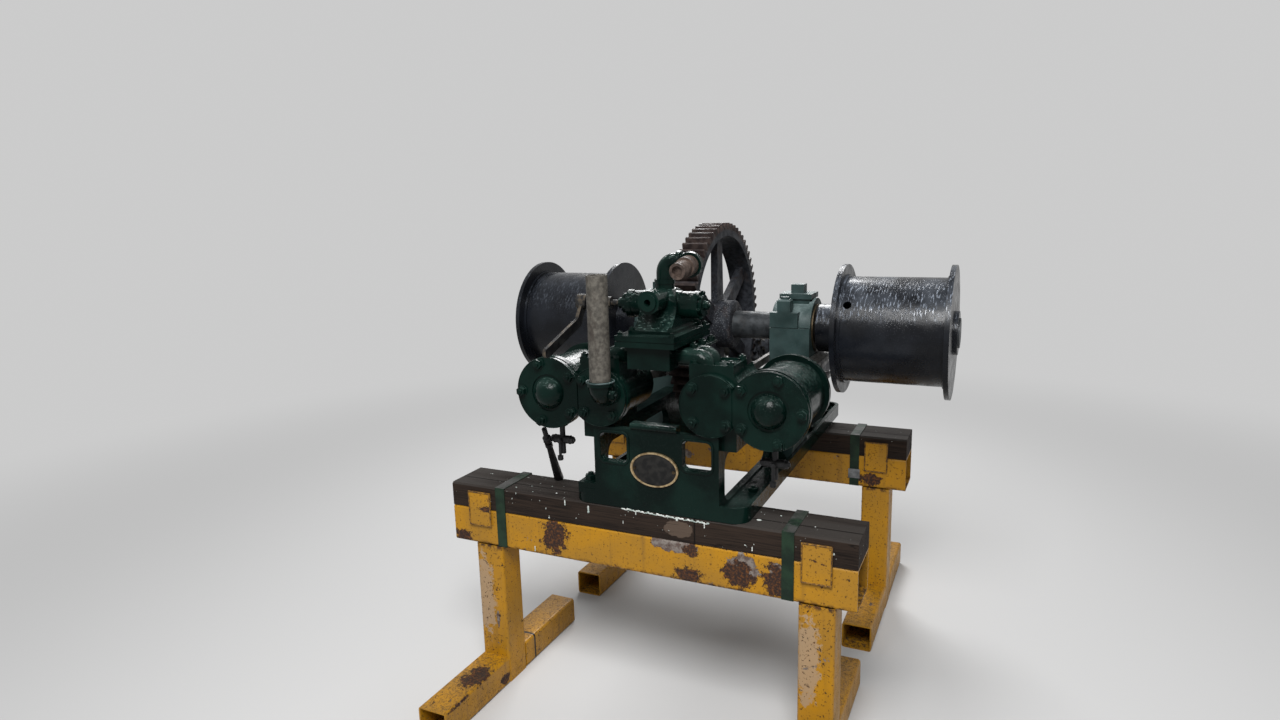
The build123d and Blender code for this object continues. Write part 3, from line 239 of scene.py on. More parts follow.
def enamel(name, look):
    paint = Paint(name)
    least = wetAndSheen["leastShare"]
    upward = paint.facing("Z")
    tone = paint.blend(paint.speckle(look["patch"], *wetAndSheen["patches"]), look["deep"], look["light"])
    # How much painted sheen and run glint each part takes: on the drum only its right-hand part, everywhere
    # on the rest
    share = paint.ramp(paint.across, *look["sheenFrom"]) * (1 - least) + least
    # Painted highlight: faces turned upward are blended towards the light glint tone, a painted top sheen
    # (on the strap, its weathered grey top)
    sheenAndWear = paint.ramp(upward, *wetAndSheen["sheenAndWearFacing"]) * paint.speckle(*wetAndSheen["sheenAndWear"]) * look["sheenAndWear"]
    tone = paint.blend(sheenAndWear * share, tone, look["glint"])
    wet = paint.speckle(look["wetPatch"], *wetAndSheen["wetPatches"])
    held = paint.ramp(upward, *wetAndSheen["beadFacing"]) * (1 - least) + least
    bead = paint.drops(look["beads"], *wetAndSheen["bead"]) * wet * held
    # The drops' coat and relief are real; their lighter tint is a painted glint
    tone = paint.blend(bead * look["beadGlint"], tone, look["glint"])
    # Painted highlight: glints painted in light streaks on faces that lean upward; the same runs also set
    # the wet coat and the relief
    leans = paint.ramp(upward, *look["lean"]) * paint.ramp(upward, *wetAndSheen["level"])
    drawn = paint.speckle(look["runs"], *wetAndSheen["runDetail"], look["runStretch"], wetAndSheen["runRough"])
    runs = leans * share * drawn
    tone = paint.blend(runs * look["runGlint"], tone, look["glint"])
    uneven = paint.cloud(*wetAndSheen["brushed"]) * wetAndSheen["brushedShare"]
    uneven = uneven + paint.cloud(*wetAndSheen["peel"]) * wetAndSheen["peelShare"]
    return paint.finish({
        "Base Color": tone, "Roughness": paint.roughness(*wetAndSheen["roughNoise"], *look["rough"]),
        "Coat Weight": (bead * wetAndSheen["beadCoat"] | runs) * look["coat"],
        "Coat Roughness": wetAndSheen["coatRough"], "Specular IOR Level": look["shine"],
        "Normal": paint.bump(bead + runs + uneven, look["relief"]),
    })


# Chrome yellow over grey primer, chipped down to rust, its noises as scale, detail, low and high
chrome = {
    "paint": (0.41, 0.192, 0.004), "faded": (0.33, 0.162, 0.012), "fades": (7, 5, 0.35, 0.65),
    "grime": (0.055, 0.038, 0.023), "streaks": (38, 4, 0.52, 0.74, (1, 1, 0.06)), "streakShare": 0.3,
    "dusty": (0.35, 0.245, 0.150), "dustEdge": (2.4, 30), "dustShare": 0.85,
    "scuffs": (15, 7, 0.645, 0.665, None, 0.68), "primerEdge": (2.0, 26),
    "primer": (0.20, 0.172, 0.152), "oldPrimer": (0.095, 0.066, 0.056),
    "wears": (44, 6, 0.42, 0.58, None, 0.65), "pits": (150, 5, 0.600, 0.625, None, 0.7),
    "chips": (34, 8, 0.625, 0.64, None, 0.74),
    "beamFoot": 0.451, "seamHalf": 0.016, "seam": (60, 6, 0.46, 0.56, None, 0.7),
    "rustEdge": (3.2, 75), "rust": (0.023, 0.012, 0.009), "orange": (0.13, 0.046, 0.011),
    "scale": (130, 6, 0.46, 0.64, None, 0.7),
    "levelFacing": (0.6, 0.9), "levelMud": 0.6, "lowMud": 0.45, "mudHigh": 0.10,
    "mud": (120, 8, 0.50, 0.56, None, 0.8),
    "gap": (-0.356, -0.400, 0.088), "gapHalf": (0.0048, 0.0034), "gapEnd": 0.01, "gapTop": 0.02,
    "gapTone": (0.008, 0.006, 0.005),
    "rough": (30, 3, 0.38, 0.55), "rustRough": 0.3, "mudRough": 0.2, "grit": (240, 3), "gritShare": 0.3,
    "shine": 0.3, "relief": 0.0009,
    "rustSpots": [
        ((-0.327, -0.500, 0.515), (0.043, 0.012, 0.052)), ((0.092, -0.500, 0.474), (0.040, 0.012, 0.024)),
        ((-0.545, -0.630, 0.087), (0.036, 0.060, 0.016)), ((0.236, -0.500, 0.500), (0.046, 0.012, 0.038)),
        ((-0.655, -0.500, 0.466), (0.034, 0.012, 0.022)), ((-0.548, -0.506, 0.566), (0.036, 0.006, 0.009)),
        ((0.338, -0.500, 0.500), (0.034, 0.012, 0.046)), ((0.100, -0.500, 0.545), (0.024, 0.012, 0.020)),
        ((-0.512, -0.530, 0.028), (0.012, 0.024, 0.016)), ((-0.510, -0.750, 0.087), (0.006, 0.075, 0.012)),
        ((0.500, -0.700, 0.060), (0.050, 0.080, 0.030)), ((-0.640, 0.560, 0.520), (0.060, 0.012, 0.040)),
        ((0.420, 0.410, 0.480), (0.040, 0.012, 0.022)), ((-0.545, 0.700, 0.087), (0.040, 0.070, 0.020)),
    ],
    "primerSpots": [
        ((0.050, -0.500, 0.552), (0.070, 0.012, 0.020)), ((0.245, -0.500, 0.522), (0.050, 0.012, 0.036)),
        ((-0.543, -0.502, 0.212), (0.006, 0.008, 0.026)), ((0.340, -0.500, 0.520), (0.026, 0.012, 0.030)),
        ((-0.300, 0.410, 0.500), (0.060, 0.012, 0.020)), ((0.120, 0.560, 0.500), (0.080, 0.012, 0.030)),
        ((0.430, 0.502, 0.260), (0.026, 0.008, 0.090)),
    ],
    "dustSpots": [
        ((-0.582, -0.502, 0.280), (0.034, 0.008, 0.130)), ((0.418, -0.502, 0.300), (0.034, 0.008, 0.120)),
        ((-0.540, 0.502, 0.250), (0.034, 0.008, 0.130)),
    ],
}


def chromeYellow(name, look):
    paint = Paint(name)
    tone = paint.blend(paint.speckle(*look["fades"]), look["paint"], look["faded"])
    tone = paint.blend(paint.speckle(*look["streaks"]) * look["streakShare"], tone, look["grime"])
    dust = paint.blots(look["dustSpots"], *look["dustEdge"]) * look["dustShare"]
    tone = paint.blend(dust, tone, look["dusty"])
    scuffs = paint.speckle(*look["scuffs"]) | paint.blots(look["primerSpots"], *look["primerEdge"])
    worn = paint.blend(paint.speckle(*look["wears"]), look["primer"], look["oldPrimer"])
    tone = paint.blend(scuffs, tone, worn)
    # Rust where the paint is pitted or chipped, along the beam's foot and in the photo's own spots
    foot = paint.ramp(abs(paint.high - look["beamFoot"]), look["seamHalf"], 0.0)
    seam = foot * paint.speckle(*look["seam"])
    spots = paint.blots(look["rustSpots"], *look["rustEdge"])
    rusty = spots | paint.speckle(*look["chips"]) | paint.speckle(*look["pits"]) | seam
    rust = paint.blend(paint.speckle(*look["scale"]), look["rust"], look["orange"])
    tone = paint.blend(rusty, tone, rust)
    # Mud low down and on level tops
    level = paint.ramp(paint.facing("Z"), *look["levelFacing"])
    mud = paint.ramp(paint.high, look["mudHigh"], 0.0) * look["lowMud"] + level * look["levelMud"]
    mud = mud * paint.speckle(*look["mud"])
    tone = paint.blend(mud, tone, look["grime"])
    # The open joint across the left feet
    gapAt, left, low = look["gap"]
    gap = paint.ramp(abs(paint.deep - gapAt), *look["gapHalf"])
    gap = gap * paint.ramp(paint.across, left, left - look["gapEnd"])
    gap = gap * paint.ramp(paint.high, low + look["gapTop"], low)
    tone = paint.blend(gap, tone, look["gapTone"])
    rough = rusty * look["rustRough"] + (mud * look["mudRough"] + paint.roughness(*look["rough"]))
    grit = look["gritShare"]
    height = paint.cloud(*look["grit"]) * grit + (1 - (rusty | scuffs | gap)) * (1 - grit)
    return paint.finish({
        "Base Color": tone, "Roughness": rough, "Specular IOR Level": look["shine"],
        "Normal": paint.bump(height, look["relief"]),
    })


# Old hardwood, grey on top, with checks, splashed paint and one newer patch
hardwood = {
    "dark": (0.008, 0.0055, 0.0045), "brown": (0.028, 0.018, 0.013), "grey": (0.036, 0.032, 0.029),
    "fibres": (260, 6, (0.03, 1, 1), 0.65), "bands": (17, 4, (0.10, 1, 1)), "bandShare": 0.6,
    "grain": (0.30, 0.70), "fibreHigh": 0.5,
    "patchTone": (0.095, 0.068, 0.051), "patchEdge": (0.8, 60), "patchShare": 0.85,
    "patches": [((0.066, -0.500, 0.600), (0.044, 0.006, 0.024))],
    "topFacing": (0.4, 0.8), "fibreShare": 0.4, "weathered": (0.42, 0.85), "greyShare": 0.9,
    "checks": (46, 3, (0.04, 1, 1)), "checkHalf": (0.007, 0.002), "checked": (9, 3, 0.48, 0.60),
    "checkShare": 0.8,
    "groove": (-0.4425, 0.4675), "grooveHalf": (0.0035, 0.0015), "front": (-0.47, -0.49),
    "crack": 0.112, "crackHalf": (0.0025, 0.001), "checkTone": (0.006, 0.004, 0.003),
    "splash": (0.42, 0.45, 0.42), "drops": (95, 2, 0.735, 0.75), "dropHigh": 0.3,
    "rough": 0.8, "shine": 0.15, "relief": 0.002,
}


def oldTimber(name, look):
    paint = Paint(name)
    fibres = paint.cloud(*look["fibres"])
    bands = paint.cloud(*look["bands"])
    grain = paint.ramp(fibres + (bands - 0.5) * look["bandShare"], *look["grain"])
    tone = paint.blend(grain, look["dark"], look["brown"])
    newer = paint.blots(look["patches"], *look["patchEdge"])
    tone = paint.blend(newer * look["patchShare"], tone, look["patchTone"])
    top = paint.ramp(paint.facing("Z"), *look["topFacing"])
    weathered = paint.ramp(bands + fibres * look["fibreShare"], *look["weathered"])
    tone = paint.blend(top * weathered * look["greyShare"], tone, look["grey"])
    checks = paint.ramp(abs(paint.cloud(*look["checks"]) - 0.5), *look["checkHalf"])
    checks = checks * paint.speckle(*look["checked"]) * look["checkShare"]
    for groove in look["groove"]:
        checks = checks | paint.ramp(abs(paint.deep - groove), *look["grooveHalf"]) * top
    front = paint.ramp(paint.deep, *look["front"])
    checks = checks | paint.ramp(abs(paint.across - look["crack"]), *look["crackHalf"]) * front
    tone = paint.blend(checks, tone, look["checkTone"])
    drops = paint.speckle(*look["drops"])
    tone = paint.blend(drops, tone, look["splash"])
    height = fibres * look["fibreHigh"] + (drops * look["dropHigh"] - checks)
    return paint.finish({
        "Base Color": tone, "Roughness": look["rough"], "Specular IOR Level": look["shine"],
        "Normal": paint.bump(height, look["relief"]),
    })


# Bare metals
metals = {
    "gear_iron": {
        "dark": (0.012, 0.013, 0.016), "light": (0.034, 0.037, 0.044), "stain": (0.045, 0.028, 0.021),
        "metallic": 0.05, "rough": (0.45, 0.68), "grain": 210, "stained": 0.35, "relief": 0.0007,
    },
    "dark_shaft": {
        "dark": (0.015, 0.017, 0.019), "light": (0.042, 0.047, 0.051), "stain": (0.05, 0.04, 0.033),
        "metallic": 0.3, "rough": (0.4, 0.6), "grain": 160, "stained": 0.3, "relief": 0.0003,
    },
    "bright_steel": {
        "dark": (0.050, 0.048, 0.044), "light": (0.17, 0.165, 0.155), "stain": (0.035, 0.027, 0.019),
        "metallic": 0.8, "rough": (0.26, 0.46), "grain": 140, "stained": 0.45, "relief": 0.0002,
    },
    "bronze": {
        "dark": (0.035, 0.026, 0.016), "light": (0.10, 0.074, 0.042), "stain": (0.03, 0.023, 0.016),
        "metallic": 0.85, "rough": (0.3, 0.5), "grain": 120, "stained": 0.45, "relief": 0.0002,
    },
    "stack_pipe": {
        "dark": (0.042, 0.038, 0.032), "light": (0.105, 0.096, 0.081), "stain": (0.032, 0.025, 0.020),
        "metallic": 0.0, "rough": (0.6, 0.85), "grain": 240, "stained": 0.8, "relief": 0.0008,
    },
    "rusty_coupling": {
        "dark": (0.028, 0.018, 0.014), "light": (0.085, 0.060, 0.048), "stain": (0.018, 0.013, 0.011),
        "metallic": 0.0, "rough": (0.5, 0.8), "grain": 260, "stained": 0.6, "relief": 0.0008,
    },
    "blackIron": {
        "dark": (0.0040, 0.0040, 0.0045), "light": (0.016, 0.016, 0.017), "stain": (0.022, 0.016, 0.011),
        "metallic": 0.0, "rough": (0.34, 0.6), "grain": 150, "stained": 0.3, "relief": 0.0004,
    },
    "weldBead": {
        "dark": (0.040, 0.020, 0.013), "light": (0.30, 0.150, 0.016), "stain": (0.030, 0.017, 0.012),
        "metallic": 0.0, "rough": (0.5, 0.8), "grain": 330, "stained": 0.7, "relief": 0.0008,
    },
    "galvanised": {
        "dark": (0.10, 0.105, 0.11), "light": (0.26, 0.27, 0.28), "stain": (0.09, 0.06, 0.04),
        "metallic": 0.7, "rough": (0.35, 0.55), "grain": 90, "stained": 0.4, "relief": 0.0002,
    },
}
# What every metal shares: each noise has its own share of the grain's scale
grains = {
    "mottleShare": 3, "mottle": (7, 0.34, 0.66, None, 0.65), "stainShare": 9,
    "stains": (6, 0.54, 0.68, (1, 1, 0.6), 0.65), "roughNoise": (31, 4), "reliefDetail": 4, "shine": 0.3,
}


def metalTone(paint, look):
    # Mottled metal with stains: its colour, its roughness and its relief
    mottle = paint.speckle(look["grain"] / grains["mottleShare"], *grains["mottle"])
    tone = paint.blend(mottle, look["dark"], look["light"])
    stained = paint.speckle(look["grain"] / grains["stainShare"], *grains["stains"]) * look["stained"]
    tone = paint.blend(stained, tone, look["stain"])
    rough = paint.roughness(*grains["roughNoise"], *look["rough"])
    return tone, rough, paint.cloud(look["grain"], grains["reliefDetail"])


def bareMetal(name, look):
    paint = Paint(name)
    tone, rough, height = metalTone(paint, look)
    return paint.finish({
        "Base Color": tone, "Roughness": rough, "Metallic": look["metallic"],
        "Specular IOR Level": grains["shine"], "Normal": paint.bump(height, look["relief"]),
    })


# Spur wheel: grey iron, red-brown grease on the teeth, wet about the hub, its drops painted with light
# glints
wheel = {
    "axis": (0, 0.101, 1.067), "flat": (1e6, 1, 1), "root": (0.300, 0.309), "greased": 0.9,
    "grease": (0.018, 0.012, 0.011), "dry": (0.044, 0.031, 0.027), "dries": (45, 5, 0.4, 0.6),
    "beads": (190, 0.32, 0.14), "wet": (0.16, 0.06), "glint": (0.34, 0.36, 0.38), "beadGlint": 0.4,
    "beadGloss": 0.2, "grainShare": 0.5, "shine": 0.1, "relief": 0.001,
}


def wheelIron(name, look, iron):
    paint = Paint(name)
    tone, rough, height = metalTone(paint, iron)
    radius = paint.reach(look["axis"], look["flat"])
    grease = paint.blend(paint.speckle(*look["dries"]), look["grease"], look["dry"])
    tone = paint.blend(paint.ramp(radius, *look["root"]) * look["greased"], tone, grease)
    bead = paint.drops(*look["beads"]) * paint.ramp(radius, *look["wet"])
    # Painted highlight: drops about the hub tinted towards a light glint tone
    tone = paint.blend(bead * look["beadGlint"], tone, look["glint"])
    return paint.finish({
        "Base Color": tone, "Roughness": rough - bead * look["beadGloss"], "Metallic": iron["metallic"],
        "Specular IOR Level": look["shine"],
        "Normal": paint.bump(height * look["grainShare"] + bead, look["relief"]),
    })


# Control lever: black bar, worn tan on its narrow edges
leverBar = {
    "dark": (0.0035, 0.0035, 0.004), "light": (0.013, 0.013, 0.013), "mottle": (40, 5, 0.4, 0.6),
    "flatFacing": (0.25, 0.6), "wears": (33, 5, 0.44, 0.62, None, 0.6), "wornTone": (0.085, 0.066, 0.045),
    "wornShare": 0.7, "rough": (60, 3, 0.3, 0.5), "grain": (170, 4), "shine": 0.3, "relief": 0.0006,
}


def leverSteel(name, look):
    paint = Paint(name)
    black = paint.blend(paint.speckle(*look["mottle"]), look["dark"], look["light"])
    edge = 1 - paint.ramp(abs(paint.facing("X")), *look["flatFacing"])
    worn = edge * paint.speckle(*look["wears"]) * look["wornShare"]
    return paint.finish({
        "Base Color": paint.blend(worn, black, look["wornTone"]),
        "Roughness": paint.roughness(*look["rough"]), "Specular IOR Level": look["shine"],
        "Normal": paint.bump(paint.cloud(*look["grain"]), look["relief"]),
    })


# Nameplate: black field inside a brass rim, left bare
plate = {
    "centre": (0, -0.5, 0.760), "half": (0.070, 1e6, 0.048), "rim": (0.90, 0.92),
    "brass": ((0.24, 0.165, 0.085), (0.50, 0.38, 0.22)), "brassNoise": (90, 4, 0.35, 0.65),
    "brassMetal": 0.8,
    "field": ((0.004, 0.004, 0.004), (0.014, 0.013, 0.012)), "fieldNoise": (60, 5, 0.4, 0.65),
    "rough": (40, 3, 0.28, 0.5), "grain": (190, 3), "shine": 0.25, "relief": 0.0004,
}


def blackPlate(name, look):
    paint = Paint(name)
    rim = paint.ramp(paint.reach(look["centre"], look["half"]), *look["rim"])
    brass = paint.blend(paint.speckle(*look["brassNoise"]), *look["brass"])
    field = paint.blend(paint.speckle(*look["fieldNoise"]), *look["field"])
    return paint.finish({
        "Base Color": paint.blend(rim, field, brass), "Metallic": rim * look["brassMetal"],
        "Roughness": paint.roughness(*look["rough"]), "Specular IOR Level": look["shine"],
        "Normal": paint.bump(paint.cloud(*look["grain"]), look["relief"]),
    })


# Splashed paint, pale green-white
splashed = {
    "dark": (0.30, 0.36, 0.33), "light": (0.62, 0.64, 0.61), "mottle": (60, 4, 0.4, 0.6), "rough": 0.45,
    "grain": (150, 3), "relief": 0.0005,
}


def splashPaint(name, look):
    paint = Paint(name)
    tone = paint.blend(paint.speckle(*look["mottle"]), look["dark"], look["light"])
    relief = paint.bump(paint.cloud(*look["grain"]), look["relief"])
    return paint.finish({"Base Color": tone, "Roughness": look["rough"], "Normal": relief})


finishes = {slot: enamel(slot, look) for slot, look in enamels.items()}
finishes.update({slot: bareMetal(slot, look) for slot, look in metals.items()})
finishes["yellow_steel"] = chromeYellow("yellow_steel", chrome)
finishes["old_timber"] = oldTimber("old_timber", hardwood)
finishes["lever_steel"] = leverSteel("lever_steel", leverBar)
finishes["plate_black"] = blackPlate("plate_black", plate)
finishes["splash"] = splashPaint("splash", splashed)
finishes["wheel"] = wheelIron("wheel", wheel, metals["gear_iron"])

# Nodes whose finish isn't the one of their slot
ownFinish = {"spur_wheel": "wheel", "drain_cocks": "blackIron"}
for part in frame["record"]["subparts"]:
    node = nodes[part["node"]]
    node.data.materials.clear()
    node.data.materials.append(finishes[ownFinish.get(part["node"], part["material_slot"])])
print("finishes set:", len(finishes))


# Making pieces
def seat(point, axis):
    # A place on a surface whose z runs out along the axis
    return Matrix.Translation(point) @ Vector(axis).to_track_quat("Z", "Y").to_matrix().to_4x4()


def edgesOf(made):
    # Each edge of a new form once, in a fixed order
    return list(dict.fromkeys(e for v in made["verts"] for e in v.link_edges))


def ease(mesh, geom, offset, segments=2, affect="EDGES"):
    bmesh.ops.bevel(mesh, geom=geom, offset=offset, offset_type="OFFSET", segments=segments, profile=0.5,
                    affect=affect, material=-1, clamp_overlap=True)


def disc(mesh, where, radius, low, high, sides=24, edge=0.0, end=None):
    # A round or many-sided boss from low to high above its seat, its top edge eased
    made = bmesh.ops.create_cone(
        mesh, cap_ends=True, segments=sides, radius1=radius, radius2=radius if end is None else end,
        depth=high - low, matrix=where @ Matrix.Translation((0, 0, (low + high) / 2)),
    )
    if edge:
        back = where.inverted()
        top = [e for e in edgesOf(made) if all((back @ v.co).z > high - edge / 10 for v in e.verts)]
        ease(mesh, top, edge)


def block(mesh, where, size, edge=0.0, segments=2):
    made = bmesh.ops.create_cube(mesh, size=1, matrix=where @ Matrix.Diagonal((*size, 1)))
    if edge:
        ease(mesh, edgesOf(made), edge, segments)


beadShape = {"sides": 8, "steps": 80}


def ring(mesh, where, radius, bead, start=0.0, sweep=2 * pi):
    # A thin round bead about a face, all the way round or part of it, its ends closed
    turned = where @ Matrix.Rotation(start, 4, "Z")
    section = turned @ Matrix.Translation((radius, 0, 0)) @ Matrix.Rotation(pi / 2, 4, "X")
    made = bmesh.ops.create_circle(mesh, segments=beadShape["sides"], radius=bead, matrix=section)
    whole = sweep == 2 * pi
    bmesh.ops.spin(mesh, geom=made["verts"] + edgesOf(made), cent=where.translation, axis=where.col[2].xyz,
                   angle=sweep, steps=beadShape["steps"], use_merge=whole)
    if not whole:
        ends = [e for e in mesh.edges if e.is_boundary]
        bmesh.ops.holes_fill(mesh, edges=ends, sides=beadShape["sides"])


# Heights and radii of a nut as shares of its stud's diameter, and how many sides its rounds have
nutShape = {
    "washer": 1.18, "washerHigh": 0.16, "washerEdge": 0.06, "corner": 1.02, "high": 0.85,
    "end": 0.5, "endHigh": 0.4, "edge": 0.1,
}
nutSides = {"washer": 28, "end": 14}


def nut(mesh, point, axis, stud, turn=0.0):
    # Washer, hexagon nut and stud end
    where = seat(point, axis) @ Matrix.Rotation(turn, 4, "Z")
    size = {name: share * stud for name, share in nutShape.items()}
    top = size["washerHigh"] + size["high"]
    disc(mesh, where, size["washer"], 0, size["washerHigh"], nutSides["washer"], size["washerEdge"])
    disc(mesh, where, size["corner"], size["washerHigh"], top, 6, size["edge"])
    disc(mesh, where, size["end"], top, top + size["endHigh"], nutSides["end"], size["edge"])


def addPiece(name, mesh, slot, finish=None, body="bed", crease=32):
    bmesh.ops.recalc_face_normals(mesh, faces=mesh.faces)
    for face in mesh.faces:
        face.smooth = True
    data = bpy.data.meshes.new(name)
    mesh.to_mesh(data)
    mesh.free()
    data.set_sharp_from_angle(angle=radians(crease))
    data.materials.append(finishes[finish or slot])
    piece = bpy.data.objects.new(name, data)
    bpy.context.scene.collection.objects.link(piece)
    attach(piece, body)
    print("piece", name, len(data.polygons), "faces")


# Nuts on the front and rear covers, and the rounded rims of the front ones
covers = {
    "engineX": 0.315, "chestX": 0.160, "z": 0.949, "face": -0.511, "studs": 5, "circle": 0.0855,
    "stud": 0.0135, "turn": 1.3, "chestAcross": 0.0445, "chestUp": 0.045, "chestTurn": 0.4,
    "rearFace": -0.255, "rearStuds": 6, "rearStart": 0.5, "rearCircle": 0.074, "rearStud": 0.0108,
    "chestRearFace": -0.286, "chestRearCircle": 0.046,
    # Each rim's radius, start and sweep, up to the joint between engine and chest
    "rims": {"engineX": (0.101, -155.6, 311.2), "chestX": (0.082, 39.8, 280.4)},
    "bead": 0.0014, "proud": 0.4, "inside": 0.6,
}


def makeCoverNuts():
    front = bmesh.new()
    rear = bmesh.new()
    for side in (-1, 1):
        for step in range(covers["studs"]):
            angle = 2 * pi * step / covers["studs"]
            x = side * (covers["engineX"] + covers["circle"] * cos(angle))
            z = covers["z"] + covers["circle"] * sin(angle)
            nut(front, (x, covers["face"], z), (0, -1, 0), covers["stud"], step * covers["turn"] + side)
        for across in (-1, 1):
            for up in (-1, 1):
                x = side * covers["chestX"] + across * covers["chestAcross"]
                z = covers["z"] + up * covers["chestUp"]
                turn = across + up * covers["chestTurn"]
                nut(front, (x, covers["face"], z), (0, -1, 0), covers["stud"], turn)
        for step in range(covers["rearStuds"]):
            angle = 2 * pi * (step + covers["rearStart"]) / covers["rearStuds"]
            for x, y, circle in ((covers["engineX"], covers["rearFace"], covers["rearCircle"]),
                                 (covers["chestX"], covers["chestRearFace"], covers["chestRearCircle"])):
                place = (side * x + circle * cos(angle), y, covers["z"] + circle * sin(angle))
                nut(rear, place, (0, 1, 0), covers["rearStud"], step)
    addPiece("coverNuts", front, "green_enamel")
    addPiece("rearCoverNuts", rear, "green_enamel")


def makeCoverRims():
    mesh = bmesh.new()
    bead = covers["bead"]
    depth = covers["face"] + bead * covers["proud"]
    for side in (-1, 1):
        for middle, (radius, start, sweep) in covers["rims"].items():
            first = start if side > 0 else 180 - start - sweep
            centre = Matrix.Translation((side * covers[middle], depth, covers["z"]))
            upright = centre @ Matrix.Rotation(pi / 2, 4, "X")
            ring(mesh, upright, radius - bead * covers["inside"], bead, radians(first), radians(sweep))
    addPiece("coverRims", mesh, "green_enamel")


makeCoverNuts()
makeCoverRims()

# Ledge with its row of nuts beside the double plate, and the nuts of the duct flanges and the valve's base
upper = {
    "ledgeInner": 0.0605, "ledgeOuter": 0.110, "ledgeBack": -0.300, "ledgeFront": -0.472,
    "ledgeZ": (1.079, 1.087), "ledgeEdge": 0.0025, "ledgeSteps": 3,
    "ledgeNutX": 0.0965, "ledgeNutY": (-0.445, -0.381, -0.317), "stud": 0.0105,
    "flangeX": (0.111, 0.210), "flangeY": (-0.4835, -0.3895), "flangeZ": 1.054, "flangeStud": 0.0095,
    "flangeTurn": (40, 9), "plateX": 0.0725, "plateY": (-0.536, -0.301), "plateZ": 1.128, "plateTurn": 7,
    "baseX": 0.0545, "baseY": (-0.5015, -0.3085), "baseZ": 1.136, "baseStud": 0.0075, "baseTurn": 5,
    "bonnetX": 0.104, "bonnetY": -0.405, "bonnetZ": 1.194, "bonnetCircle": 0.0332, "bonnetStud": 0.0052,
    "bonnetStuds": 6, "bonnetStart": 0.25, "coverX": 0.112, "coverStud": 0.0115,
}


def makeUpperNuts():
    ledge = bmesh.new()
    nuts = bmesh.new()
    inner, outer, back, front = (upper["ledge" + end] for end in ("Inner", "Outer", "Back", "Front"))
    low, high = upper["ledgeZ"]
    turnX, turnY = upper["flangeTurn"]
    for side in (-1, 1):
        middle = Matrix.Translation((side * (inner + outer) / 2, (front + back) / 2, (low + high) / 2))
        size = (outer - inner, back - front, high - low)
        block(ledge, middle, size, upper["ledgeEdge"], upper["ledgeSteps"])
        for step, y in enumerate(upper["ledgeNutY"]):
            nut(nuts, (side * upper["ledgeNutX"], y, high), (0, 0, 1), upper["stud"], step)
        for x in upper["flangeX"]:
            for y in upper["flangeY"]:
                turn = x * turnX + y * turnY
                nut(nuts, (side * x, y, upper["flangeZ"]), (0, 0, 1), upper["flangeStud"], turn)
        for foot in ("plate", "base"):
            for y in upper[foot + "Y"]:
                place = (side * upper[foot + "X"], y, upper[foot + "Z"])
                nut(nuts, place, (0, 0, 1), upper["baseStud"], y * upper[foot + "Turn"])
        for step in range(upper["bonnetStuds"]):
            angle = 2 * pi * (step + upper["bonnetStart"]) / upper["bonnetStuds"]
            place = (side * upper["bonnetX"], upper["bonnetY"] + upper["bonnetCircle"] * cos(angle),
                     upper["bonnetZ"] + upper["bonnetCircle"] * sin(angle))
            nut(nuts, place, (side, 0, 0), upper["bonnetStud"], step)
    nut(nuts, (upper["coverX"], upper["bonnetY"], upper["bonnetZ"]), (1, 0, 0), upper["coverStud"])
    addPiece("ductLedges", ledge, "green_enamel")
    addPiece("upperNuts", nuts, "green_enamel")


makeUpperNuts()

# Bed: lips round the front windows, the plate's screws, and nuts on the rails and the lug
bed = {
    "windowX": 0.1215, "windowZ": 0.809, "windowSize": (0.081, 0.080), "windowCorner": 0.014,
    "cornerSteps": 6, "lip": 0.007, "lipProud": 0.0035, "lipEdge": 0.0012, "front": -0.500,
    "screwX": 0.0575, "screwFace": -0.506, "screw": 0.0045, "screwHigh": 0.0014, "screwEdge": 0.0005,
    "screwSides": 20, "plateZ": 0.760, "slotAt": 0.0016, "slotSize": (0.00765, 0.0009, 0.0005),
    "slotTurn": 0.5, "lug": (-0.210, -0.4745, 0.696), "lugStud": 0.017, "lugTurn": 0.4,
    "railZ": 0.6665, "railX": 0.222, "railY": (-0.330, 0.330, 0.560), "railStud": 0.014, "railTurn": 3,
}


def makeWindowLips():
    mesh = bmesh.new()
    lip = bed["lip"]
    width, height = (size + 2 * lip for size in bed["windowSize"])
    for side in (-1, 1):
        where = Matrix.Translation((side * bed["windowX"], bed["front"], bed["windowZ"]))
        flat = where @ Matrix.Rotation(pi / 2, 4, "X") @ Matrix.Diagonal((width, height, 1, 1))
        made = bmesh.ops.create_grid(mesh, x_segments=1, y_segments=1, size=0.5, matrix=flat)
        ease(mesh, made["verts"], bed["windowCorner"] + lip, bed["cornerSteps"], "VERTICES")
        opening = [f for f in mesh.faces if side * f.calc_center_median().x > 0]
        rim = bmesh.ops.inset_region(mesh, faces=opening, thickness=lip, use_boundary=True,
                                     use_even_offset=True)
        bmesh.ops.delete(mesh, geom=opening, context="FACES_ONLY")
        raised = bmesh.ops.extrude_face_region(mesh, geom=rim["faces"], use_keep_orig=True)
        corners = [v for v in raised["geom"] if isinstance(v, bmesh.types.BMVert)]
        bmesh.ops.translate(mesh, verts=corners, vec=(0, -bed["lipProud"], 0))
        edges = [e for e in raised["geom"] if isinstance(e, bmesh.types.BMEdge) and len(e.link_faces) == 2
                 and e.calc_face_angle() > 1]
        ease(mesh, edges, bed["lipEdge"])
    addPiece("windowLips", mesh, "green_enamel")


